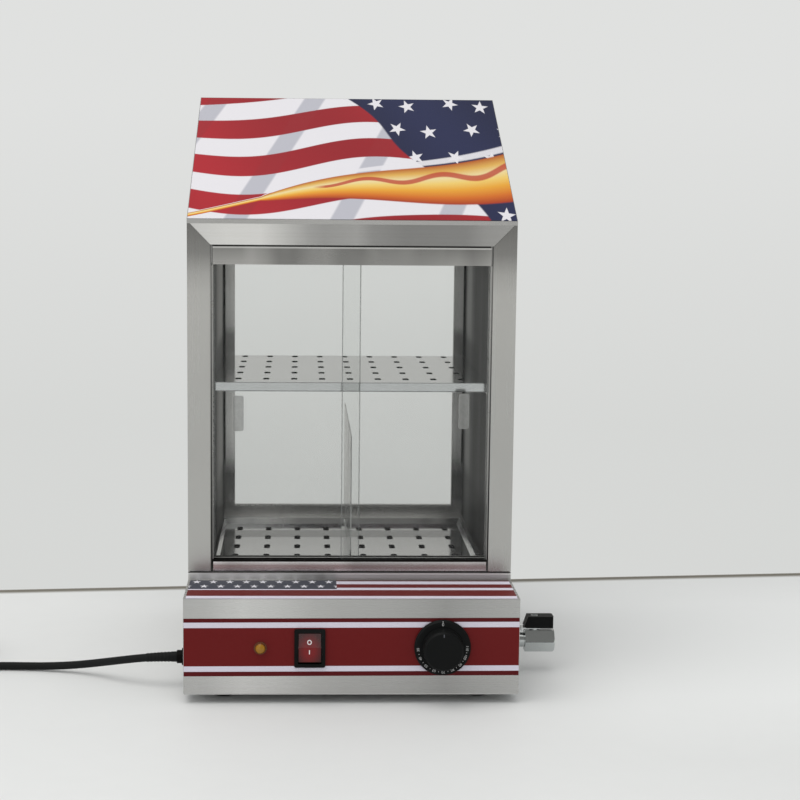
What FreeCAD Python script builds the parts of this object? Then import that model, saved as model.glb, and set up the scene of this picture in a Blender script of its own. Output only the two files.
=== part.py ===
import FreeCAD, Part
import Sketcher
import math
import os

# A glass-fronted hot dog steamer: a low base with a water tank and controls, a two-tier cabinet with
# sliding doors, and a sloped roof. X runs to the right, Y to the back, Z up. Places below are measured
# from the middle of the case's front edge, on the floor. The helpers then move everything so that the
# origin lies under the middle of the whole outline, drain valve and knob included.

doc = FreeCAD.newDocument("HotDogSteamer")

# Driving dimensions, in millimetres and degrees
dimensions = {
    # case and sheet metal
    "case_width": 280, "case_depth": 328, "sheet": 1, "foot_height": 8, "base_height": 81.5,
    "deck_depth": 68, "plinth_height": 7, "groove_height": 1, "groove_inset": 1.5,
    "cabinet_height": 302, "roof_rise": 111.5, "ridge_width": 46, "fit_gap": 0.3, "decal": 0.3,
    "cut_overrun": 5,
    # cabinet frame
    "post_face": 20, "rail_face": 20.5, "frame_depth": 24, "mitre_gap": 0.25, "track_gap": 1.2,
    "rear_depth": 14, "rear_flange": 10.8, "window_sill": 10.3, "window_head": 30, "roof_lip": 2.5,
    # feet and bottom
    "foot_radius": 10.5, "foot_taper": 1.5, "foot_inset_side": 32, "foot_inset_end": 31,
    "foot_recess_radius": 4.4, "foot_recess_depth": 4, "bottom_flange": 12, "bottom_inset": 0.5,
    "vent_width": 4, "vent_length": 44, "vent_pitch": 12, "vent_start": -60, "vent_front": 18,
    "screw_radius": 2, "screw_head_radius": 3.5, "screw_head_height": 2.2, "screw_clearance": 0.2,
    "screw_length": 6, "thread_gap": 0.05, "band_low": 23.8, "band_high": 72.9, "band_tilt": 0.9, "deck_margin": 2,
    "bottom_screw_end": 44,
    # water tank
    "tank_side_gap": 30, "tank_back_gap": 24, "tank_front": 84, "tank_bottom": 20, "tank_sheet": 0.8,
    "tank_flange": 8, "opening_side_gap": 6, "opening_front_gap": 14, "opening_back_gap": 42,
    # heating element
    "element_radius": 4, "element_bend": 22, "element_height": 34, "element_back_gap": 70,
    "fitting_radius": 5, "fitting_length": 20, "fitting_nut_radius": 8, "fitting_nut_height": 4,
    "gasket_height": 1.4, "pin_radius": 1.5, "pin_length": 12, "cold_end": 14,
    # drain valve
    "drain_back": 96, "drain_height": 29.2, "stub_radius": 6.6, "stub_bore": 4, "hex_start": 16.6,
    "hex_length": 26, "hex_flats": 19.2, "hex_chamfer": 1.2, "collar_radius": 9, "collar_length": 3,
    "seal_length": 1.9, "locknut_length": 4, "locknut_radius": 9, "ball_radius": 6.5, "ball_bore": 3.5,
    "ball_offset": 8.7, "cavity_radius": 7.5, "seat_length": 1.8, "stem_radius": 2.4, "boss_radius": 4.4,
    "boss_height": 1, "outlet_radius": 5.6, "outlet_length": 10, "lever_length": 24.3, "lever_height": 10.4,
    "lever_width": 13, "lever_rise": 2.2, "lever_slant": 1.6, "lever_back": 7.9, "stop_tab": 4.2, "stop_drop": 1.2,
    "lever_nut_radius": 3.6, "lever_nut_height": 2.6, "running_gap": 0.05,
    # thermostat and knob
    "knob_side": 64.5, "knob_z": 49.1, "skirt_radius": 23.5, "skirt_length": 3, "skirt_gap": 1.5,
    "cap_radius": 17.3, "cap_length": 12.2, "cap_wall": 1.8, "cap_fillet": 1.5, "hub_radius": 7,
    "spindle_radius": 3, "spindle_tail": 4, "thermostat_width": 36,
    "thermostat_height": 34, "thermostat_depth": 28, "thermostat_screw_pitch": 28,
    "spade_width": 6.3, "spade_thick": 0.8, "spade_length": 9, "bulb_radius": 3.1, "bulb_length": 70,
    "capillary_radius": 0.9, "bulb_offset": 13.5, "bulb_height": 44, "bulb_start": 104, "bulb_gland_radius": 4,
    "bulb_gland_length": 5,
    # switch
    "switch_from_lamp": 41.1, "switch_z": 48, "bezel_width": 25.8, "bezel_height": 32.6, "bezel_thick": 2,
    "bezel_fillet": 1.6, "rocker_width": 18.6, "rocker_half": 12, "rocker_crown": 4, "rocker_tilt": 12,
    "rocker_back": 5, "rocker_gap": 0.4, "pivot_depth": 1.6, "pivot_radius": 1.5, "pivot_length": 0.9,
    "housing_width": 21.6, "housing_height": 28, "housing_depth": 20, "housing_floor": 3,
    "terminal_pitch": 7.5,
    # lamp
    "lamp_side": 64, "lamp_z": 48.2, "lens_radius": 4.6, "lens_flange_radius": 5.4, "lens_flange": 1.2,
    "lens_dome": 4.2, "lamp_body_radius": 3.9, "lamp_body_length": 18,
    # gland, cord and plug
    "gland_y": 50, "gland_z": 26.6, "gland_flange_radius": 7.4, "gland_flange": 4.2, "gland_radius": 5.7,
    "gland_length": 8.6, "gland_tail": 9, "gland_nut_radius": 10, "gland_nut_height": 4, "cord_radius": 3.4,
    "coil_reach": 240, "coil_front": 100, "coil_height": 3.7, "coil_radius": 48, "coil_step": 7.4,
    "coil_tail": 26,
    "plug_length": 34, "plug_width": 26, "plug_height": 20, "plug_relief": 22, "plug_relief_radius": 5.2, "plug_fillet": 3,
    "blade_width": 6.3, "blade_thick": 1.5, "blade_length": 17, "blade_pitch": 12.7, "earth_radius": 2.4,
    "earth_drop": 6.5,
    # doors
    "door_side_gap": 1.5, "glass": 4, "track_wall": 2, "groove_width": 5, "groove_rib": 3.5,
    "upper_track_height": 15.3, "lower_track_height": 8, "track_recess": 1.5, "track_end_gap": 1.6,
    "runner_rise": 2, "runner_floor": 2.7, "door_engage": 9.5, "door_overlap": 8.2,
    "track_spacer_width": 9, "plate_width": 9, "plate_height": 30.6, "plate_thick": 2.6,
    "plate_inset": 17, "left_plate_bottom": 121, "right_plate_bottom": 124.7, "plate_fillet": 2,
    "jamb_lip": 0.8,
    # rear window
    "rear_glass_edge": 6.4, "ledge_screw_end": 23, "rear_screw_end": 11.4,
    # shelf, tray and divider
    "shelf_top": 162.5, "shelf_sheet": 1.5, "shelf_lip": 8, "shelf_side_gap": 0.5, "shelf_front": 19.5, "ledge": 9,
    "slot_width": 5.4, "shelf_slot": 14, "shelf_columns": 9, "shelf_rows": 5,
    "tray_left_gap": 1.7, "tray_right_gap": 6.4, "tray_front": 20.5, "tray_back_gap": 43.5, "tray_rim": 6.3,
    "tray_slant": 2.6, "tray_slot": 17, "tray_columns": 4, "tray_rows": 4,
    "divider_height": 113.4, "divider_notch": 8, "divider_x": 1, "clip_length": 16, "clip_foot": 4,
    "clip_height": 6, "divider_back": 1.5, "ceiling_drop": 19.5,
    # inner parts of the base
    "block_length": 30, "block_width": 16, "block_height": 14, "block_side": 36, "block_y": 24,
    "cutout_radius": 8, "cutout_length": 9, "wire_radius": 1.2,
}

sheet = doc.addObject("Spreadsheet::Sheet", "Sizes")
for row, (alias, number) in enumerate(dimensions.items(), start=1):
    sheet.set(f"A{row}", alias)
    sheet.set(f"B{row}", str(number))
    sheet.setAlias(f"B{row}", alias)
doc.recompute()


class Size:
    """A length that keeps its value together with the sheet expression that gives it."""

    def __init__(self, value, text):
        self.value = value
        self.text = text

    def __add__(self, other):
        return Size(self.value + number(other), f"({self.text} + {written(other)})")

    def __radd__(self, other):
        return Size(number(other) + self.value, f"({written(other)} + {self.text})")

    def __sub__(self, other):
        return Size(self.value - number(other), f"({self.text} - {written(other)})")

    def __rsub__(self, other):
        return Size(number(other) - self.value, f"({written(other)} - {self.text})")

    def __mul__(self, other):
        return Size(self.value * number(other), f"({self.text} * {written(other)})")

    def __rmul__(self, other):
        return Size(number(other) * self.value, f"({written(other)} * {self.text})")

    def __truediv__(self, other):
        return Size(self.value / number(other), f"({self.text} / {written(other)})")

    def __neg__(self):
        return Size(-self.value, f"(-{self.text})")


def number(term):
    """The plain value of a size or a number."""
    return term.value if isinstance(term, Size) else term


def written(term):
    """The expression text of a size or a number."""
    return term.text if isinstance(term, Size) else repr(term)


def root(term):
    """The square root of a size that is an area."""
    return Size(math.sqrt(term.value), f"sqrt({term.text})")


def size(alias):
    """A driving dimension of the sheet."""
    return Size(float(dimensions[alias]), f"Sizes.{alias}")


def bind(target, prop, term):
    """Ties one property to the sheet."""
    target.setExpression(prop, written(term))


# Levels, planes and places that several pieces share
wall = size("sheet")
gap = size("fit_gap")
overrun = size("cut_overrun")
half_width = size("case_width") / 2
depth = size("case_depth")
deck_z = size("foot_height") + size("base_height")
plinth_z = deck_z + size("plinth_height")
floor_z = plinth_z + size("groove_height")
eave_z = floor_z + size("cabinet_height")
ridge_z = eave_z + size("roof_rise")
ceiling_z = eave_z - size("ceiling_drop")
cabinet_front = size("deck_depth")
frame_back = cabinet_front + size("frame_depth")
rear_plane = depth - size("rear_depth")
inner_half = half_width - size("post_face")
drain_reach = size("hex_start") + size("hex_length")
knob_reach = size("decal") + size("skirt_gap") + size("skirt_length") + size("cap_length")

origin_x = (size("gland_length") - drain_reach) / 2
origin_y = (knob_reach - depth) / 2

nodes = []


def keep(piece, label):
    """Marks an object as one finished piece and gives it its file name."""
    piece.Label = label
    nodes.append(piece)
    return piece


def move(piece, x, y, z):
    """Puts an object at a place in the case."""
    bind(piece, "Placement.Base.x", origin_x + x)
    bind(piece, "Placement.Base.y", origin_y + y)
    bind(piece, "Placement.Base.z", z)


def place(x, y, z):
    """The same place as a vector, for shapes that are computed."""
    return FreeCAD.Vector(number(origin_x + x), number(origin_y + y), number(z))


def box(name, x_low, x_high, y_low, y_high, z_low, z_high):
    """A block between two corners."""
    piece = doc.addObject("Part::Box", name)
    bind(piece, "Length", x_high - x_low)
    bind(piece, "Width", y_high - y_low)
    bind(piece, "Height", z_high - z_low)
    move(piece, x_low, y_low, z_low)
    return piece


turns = {
    "Z": FreeCAD.Rotation(0, 0, 0),
    "X": FreeCAD.Rotation(FreeCAD.Vector(0, 1, 0), 90),
    "Y": FreeCAD.Rotation(FreeCAD.Vector(1, 0, 0), -90),
}


def rod(name, axis, radius, length, x, y, z):
    """A cylinder that starts at a place and runs along a positive axis."""
    piece = doc.addObject("Part::Cylinder", name)
    bind(piece, "Radius", radius)
    bind(piece, "Height", length)
    piece.Placement.Rotation = turns[axis]
    move(piece, x, y, z)
    return piece


def cone(name, axis, radius, end_radius, length, x, y, z):
    """A cone that starts at a place and runs along a positive axis."""
    piece = doc.addObject("Part::Cone", name)
    bind(piece, "Radius1", radius)
    bind(piece, "Radius2", end_radius)
    bind(piece, "Height", length)
    piece.Placement.Rotation = turns[axis]
    move(piece, x, y, z)
    return piece


def hexagon(name, axis, radius, length, x, y, z, spin=0):
    """A hexagonal bar measured over its corners."""
    piece = doc.addObject("Part::Prism", name)
    piece.Polygon = 6
    bind(piece, "Circumradius", radius)
    bind(piece, "Height", length)
    piece.Placement.Rotation = turns[axis].multiply(FreeCAD.Rotation(FreeCAD.Vector(0, 0, 1), spin))
    move(piece, x, y, z)
    return piece


def cut(name, base, *tools):
    """Takes tools away from a base."""
    piece = doc.addObject("Part::Cut", name)
    piece.Base = base
    piece.Tool = tools[0] if len(tools) == 1 else join(name + "_tools", *tools)
    return piece


def join(name, *parts):
    """Makes one solid of several."""
    piece = doc.addObject("Part::MultiFuse", name)
    piece.Shapes = list(parts)
    return piece


def common(name, *parts):
    """Keeps what several solids share."""
    piece = doc.addObject("Part::MultiCommon", name)
    piece.Shapes = list(parts)
    return piece


def group(name, parts):
    """Holds equal pieces together in one node as separate solids."""
    piece = doc.addObject("Part::Compound", name)
    piece.Links = list(parts)
    return piece


def origin_feature(owner, role):
    """One of a body's own base planes or axes."""
    return next(item for item in owner.Origin.OriginFeatures if item.Role == role)


def new_body(name):
    """An empty body in the case's frame."""
    piece = doc.addObject("PartDesign::Body", name)
    move(piece, 0, 0, 0)
    return piece


def new_sketch(owner, name, plane, offset, loops):
    """A sketch on a plane across X, Y or Z; a loop is a list of corners or a centre with a radius."""
    sketch = owner.newObject("Sketcher::SketchObject", name)
    sketch.AttachmentSupport = [(origin_feature(owner, plane + "_Plane"), "")]
    sketch.MapMode = "FlatFace"
    bind(sketch, "AttachmentOffset.Base.z", -offset if plane == "XZ" else offset)
    for loop in loops:
        if isinstance(loop, tuple):
            add_circle(sketch, *loop)
        else:
            add_outline(sketch, loop)
    return sketch


def fix_point(sketch, element, point, place_xy):
    """Holds a sketch point at its two distances from the origin."""
    for kind, axis, term in (("DistanceX", -2, place_xy[0]), ("DistanceY", -1, place_xy[1])):
        if abs(number(term)) < 1e-9:
            sketch.addConstraint(Sketcher.Constraint("PointOnObject", element, point, axis))
        else:
            index = sketch.addConstraint(Sketcher.Constraint(kind, -1, 1, element, point, number(term)))
            sketch.setExpression(f"Constraints[{index}]", written(term))


def add_outline(sketch, corners):
    """A closed outline of straight edges."""
    first = sketch.GeometryCount
    total = len(corners)
    for index in range(total):
        start, end = corners[index], corners[(index + 1) % total]
        sketch.addGeometry(Part.LineSegment(
            FreeCAD.Vector(number(start[0]), number(start[1]), 0),
            FreeCAD.Vector(number(end[0]), number(end[1]), 0)), False)
    for index in range(total):
        following = first + (index + 1) % total
        sketch.addConstraint(Sketcher.Constraint("Coincident", first + index, 2, following, 1))
    for index, corner in enumerate(corners):
        fix_point(sketch, first + index, 1, corner)


def add_circle(sketch, centre, radius):
    """A full circle."""
    index = sketch.GeometryCount
    middle = FreeCAD.Vector(number(centre[0]), number(centre[1]), 0)
    sketch.addGeometry(Part.Circle(middle, FreeCAD.Vector(0, 0, 1), number(radius)), False)
    constraint = sketch.addConstraint(Sketcher.Constraint("Radius", index, number(radius)))
    sketch.setExpression(f"Constraints[{constraint}]", written(radius))
    fix_point(sketch, index, 3, centre)


def rectangle(x_low, x_high, y_low, y_high):
    """The corners of a rectangle."""
    return [(x_low, y_low), (x_high, y_low), (x_high, y_high), (x_low, y_high)]


def pad(owner, name, plane, offset, length, loops):
    """A pad that grows along the positive axis from its plane."""
    feature = owner.newObject("PartDesign::Pad", name)
    feature.Profile = new_sketch(owner, name + "_outline", plane, offset, loops)
    feature.Reversed = plane == "XZ"
    bind(feature, "Length", length)
    return feature


def pocket(owner, name, plane, offset, length, loops):
    """A pocket that cuts along the positive axis from its plane."""
    feature = owner.newObject("PartDesign::Pocket", name)
    feature.Profile = new_sketch(owner, name + "_outline", plane, offset, loops)
    feature.Reversed = plane != "XZ"
    bind(feature, "Length", length)
    return feature


def revolve(owner, name, plane, axis, corners, offset=0):
    """A full revolution about one of the body's own axes."""
    feature = owner.newObject("PartDesign::Revolution", name)
    feature.Profile = new_sketch(owner, name + "_outline", plane, offset, [corners])
    feature.ReferenceAxis = (origin_feature(owner, axis + "_Axis"), [""])
    feature.Angle = 360
    return feature


def soften(owner, name, radius, chooser):
    """Rounds the edges that a test picks."""
    doc.recompute()
    base = owner.Tip
    picked = [f"Edge{index}" for index, edge in enumerate(base.Shape.Edges, start=1) if chooser(edge)]
    feature = owner.newObject("PartDesign::Fillet", name)
    feature.Base = (base, picked)
    bind(feature, "Radius", radius)
    return feature


def runs_along(edge, axis):
    """Tells whether an edge is straight and parallel to an axis."""
    if edge.Curve.TypeId != "Part::GeomLine":
        return False
    direction = edge.tangentAt(edge.FirstParameter)
    return abs(abs(direction.dot(axis)) - 1) < 1e-6


axis_x = FreeCAD.Vector(1, 0, 0)
axis_y = FreeCAD.Vector(0, 1, 0)
axis_z = FreeCAD.Vector(0, 0, 1)

# Places of the controls and of what passes through the case
knob_place = (half_width - size("knob_side"), size("knob_z"))
lamp_place = (size("lamp_side") - half_width, size("lamp_z"))
switch_place = (lamp_place[0] + size("switch_from_lamp"), size("switch_z"))
bulb_x = knob_place[0] - size("bulb_offset")
tank_half = half_width - size("tank_side_gap")
tank_back = depth - size("tank_back_gap")
base_low = size("foot_height") + wall
foot_x = half_width - size("foot_inset_side")
foot_places = [
    (side * foot_x, y) for side in (-1, 1) for y in (size("foot_inset_end"), depth - size("foot_inset_end"))
]
bottom_screw_places = [
    (side * (half_width - size("bottom_flange") / 2), depth / 2 + step * (depth / 2 - size("bottom_screw_end")))
    for side in (-1, 1) for step in (-1, 0, 1)
]


# Base casing: one folded shell, open below inside its bottom flange
def make_base_casing():
    flange = size("bottom_flange")
    hole = size("screw_radius") + size("screw_clearance")
    shell = box("casing_block", -half_width, half_width, 0, depth, base_low, deck_z)
    hollow = box("casing_hollow", wall - half_width, half_width - wall, wall, depth - wall,
                 base_low + wall, deck_z - wall)
    underside = box("casing_underside", flange - half_width, half_width - flange, flange, depth - flange,
                    base_low - overrun, base_low + wall + overrun)
    mouth = box("casing_mouth", -tank_half - gap, tank_half + gap, size("tank_front") - gap, tank_back + gap,
                deck_z - wall - overrun, deck_z + overrun)
    holes = [
        rod("casing_lamp_hole", "Y", size("lamp_body_radius") + gap, overrun, lamp_place[0], -overrun / 2,
            lamp_place[1]),
        rod("casing_spindle_hole", "Y", size("spindle_radius") + wall, overrun, knob_place[0], -overrun / 2,
            knob_place[1]),
        box("casing_switch_hole", switch_place[0] - size("housing_width") / 2 - gap,
            switch_place[0] + size("housing_width") / 2 + gap, -overrun / 2, overrun / 2,
            switch_place[1] - size("housing_height") / 2 - gap,
            switch_place[1] + size("housing_height") / 2 + gap),
        rod("casing_gland_hole", "X", size("gland_radius") + gap, overrun, -half_width - overrun / 2,
            size("gland_y"), size("gland_z")),
        rod("casing_drain_hole", "X", size("stub_radius") + wall, overrun, half_width - overrun / 2,
            size("drain_back"), size("drain_height")),
    ]
    for side in (-1, 1):
        holes.append(rod(f"casing_thermostat_hole_{side + 1}", "Y", hole, overrun,
                         knob_place[0] + side * size("thermostat_screw_pitch") / 2, -overrun / 2, knob_place[1]))
    for index, (x, y) in enumerate(bottom_screw_places):
        holes.append(rod(f"casing_bottom_hole_{index}", "Z", hole, overrun, x, y, base_low - overrun / 2))
    keep(cut("base_casing_cut", shell, hollow, underside, mouth, *holes), "base_casing")


# Bottom plate: a flat sheet with vent slots below the controls, screwed to the casing's flange
def make_bottom_plate():
    inset = size("bottom_inset")
    hole = size("screw_radius") + size("screw_clearance")
    plate = new_body("bottom_plate_body")
    circles = [(spot, hole) for spot in foot_places + bottom_screw_places]
    pad(plate, "plate_pad", "XY", size("foot_height"), wall,
        [rectangle(inset - half_width, half_width - inset, inset, depth - inset)] + circles)
    start = size("vent_start")
    slot = pocket(plate, "vent_slot", "XY", size("foot_height") - overrun, 2 * overrun,
                  [rectangle(start + 3 * size("vent_pitch"), start + 3 * size("vent_pitch") + size("vent_width"),
                             size("vent_front"), size("vent_front") + size("vent_length"))])
    row = plate.newObject("PartDesign::LinearPattern", "vent_row")
    row.Originals = [slot]
    row.Direction = (origin_feature(plate, "X_Axis"), [""])
    bind(row, "Length", 6 * size("vent_pitch"))
    row.Occurrences = 7
    plate.Tip = row
    keep(plate, "bottom_plate")


# Feet with their screws
def make_feet():
    feet, screws = [], []
    hole = size("screw_radius") + size("screw_clearance")
    recess = size("foot_recess_depth")
    plate_top = size("foot_height") + wall
    for index, (x, y) in enumerate(foot_places):
        low_radius = size("foot_radius") - size("foot_taper")
        cone_part = cone(f"foot_cone_{index}", "Z", low_radius, size("foot_radius"), size("foot_height"), x, y, 0)
        pit = rod(f"foot_pit_{index}", "Z", size("foot_recess_radius"), recess + overrun, x, y, -overrun)
        bore = rod(f"foot_bore_{index}", "Z", hole, size("foot_height") + overrun, x, y, 0)
        feet.append(cut(f"foot_{index}", cone_part, pit, bore))
        head_z = recess - size("screw_head_height")
        head = rod(f"foot_screw_head_{index}", "Z", size("screw_head_radius"), size("screw_head_height"),
                   x, y, head_z)
        shank = rod(f"foot_screw_shank_{index}", "Z", size("screw_radius"), plate_top + 4 * wall - head_z,
                    x, y, head_z)
        screws.append(join(f"foot_screw_{index}", head, shank))
    keep(group("feet_group", feet), "rubber_feet")
    keep(group("feet_screw_group", screws), "feet_screws")


# One panel screw whose head's underside is at a place, pointing along or against an axis
panel_screws = []


def panel_screw(axis, away, x, y, z):
    index = len(panel_screws)
    reach = {"X": [0, 0, 0], "Y": [0, 0, 0], "Z": [0, 0, 0]}[axis]
    slot = "XYZ".index(axis)
    head_at, shank_at = list(reach), list(reach)
    if away:
        head_at[slot] = -size("screw_head_height")
    else:
        shank_at[slot] = -size("screw_length")
    head = rod(f"panel_screw_head_{index}", axis, size("screw_head_radius"), size("screw_head_height"),
               x + head_at[0], y + head_at[1], z + head_at[2])
    shank = rod(f"panel_screw_shank_{index}", axis, size("screw_radius"), size("screw_length"),
                x + shank_at[0], y + shank_at[1], z + shank_at[2])
    panel_screws.append(join(f"panel_screw_{index}", head, shank))


def make_bottom_screws():
    for x, y in bottom_screw_places:
        panel_screw("Z", True, x, y, size("foot_height"))


# Water tank: a deep pan that hangs by its flange in the mouth of the casing
def make_water_tank():
    skin = size("tank_sheet")
    flange = size("tank_flange")
    top = deck_z + skin
    outer = box("tank_outer", -tank_half, tank_half, size("tank_front"), tank_back, size("tank_bottom"), top)
    rim = box("tank_rim", -tank_half - flange, tank_half + flange, size("tank_front") - flange,
              tank_back + flange, deck_z, top)
    inner = box("tank_inner", skin - tank_half, tank_half - skin, size("tank_front") + skin, tank_back - skin,
                size("tank_bottom") + skin, top + overrun)
    holes = [
        rod("tank_drain_hole", "X", size("stub_radius") + gap, 2 * overrun, tank_half - overrun,
            size("drain_back"), size("drain_height")),
        rod("tank_bulb_hole", "Y", size("bulb_gland_radius"), 2 * overrun, bulb_x,
            size("tank_front") - overrun, size("bulb_height")),
    ]
    for side in (-1, 1):
        holes.append(rod(f"tank_element_hole_{side + 1}", "Y", size("fitting_radius") + size("thread_gap"),
                         2 * overrun, side * size("element_bend"), size("tank_front") - overrun,
                         size("element_height")))
    keep(cut("water_tank_cut", join("tank_pan", outer, rim), inner, *holes), "water_tank")


# Rubber and plastic seals, gathered while the pieces that they serve are made
seals = []


# Immersion heating element: a bent tube with two threaded fittings and cold pins, its nuts and gaskets
def make_heating_element():
    height = size("element_height")
    start = size("tank_front") - size("cold_end")
    bend_y = tank_back - size("element_back_gap")
    parts = []
    for side in (-1, 1):
        x = side * size("element_bend")
        parts.append(rod(f"element_leg_{side + 1}", "Y", size("element_radius"), bend_y - start, x, start, height))
        parts.append(rod(f"element_fitting_{side + 1}", "Y", size("fitting_radius"), size("fitting_length"), x,
                         start + size("cold_end") / 4, height))
        parts.append(rod(f"element_pin_{side + 1}", "Y", size("pin_radius"), size("pin_length"), x,
                         start - size("pin_length"), height))
        parts.append(rod(f"element_flange_{side + 1}", "Y", size("fitting_nut_radius"), size("tank_sheet"), x,
                         size("tank_front") + size("tank_sheet") + size("gasket_height"), height))
    bend = doc.addObject("Part::Torus", "element_bend_torus")
    bind(bend, "Radius1", size("element_bend"))
    bind(bend, "Radius2", size("element_radius"))
    bend.Angle3 = 180
    move(bend, 0, bend_y, height)
    parts.append(bend)
    keep(join("heating_element_fuse", *parts), "heating_element")
    nuts, gaskets = [], []
    bore = size("fitting_radius") + size("thread_gap")
    for side in (-1, 1):
        x = side * size("element_bend")
        nut_y = size("tank_front") - size("fitting_nut_height")
        nut = hexagon(f"element_nut_body_{side + 1}", "Y", size("fitting_nut_radius"), size("fitting_nut_height"),
                      x, nut_y, height)
        thread = rod(f"element_nut_bore_{side + 1}", "Y", bore, size("fitting_nut_height") + 2 * overrun, x,
                     nut_y - overrun, height)
        nuts.append(cut(f"element_nut_{side + 1}", nut, thread))
        ring_y = size("tank_front") + size("tank_sheet")
        ring = rod(f"element_gasket_body_{side + 1}", "Y", size("fitting_nut_radius"), size("gasket_height"), x,
                   ring_y, height)
        hole = rod(f"element_gasket_bore_{side + 1}", "Y", bore, size("gasket_height") + 2 * overrun, x,
                   ring_y - overrun, height)
        gaskets.append(cut(f"element_gasket_{side + 1}", ring, hole))
    keep(group("element_nut_group", nuts), "element_nuts")
    seals.extend(gaskets)


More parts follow.
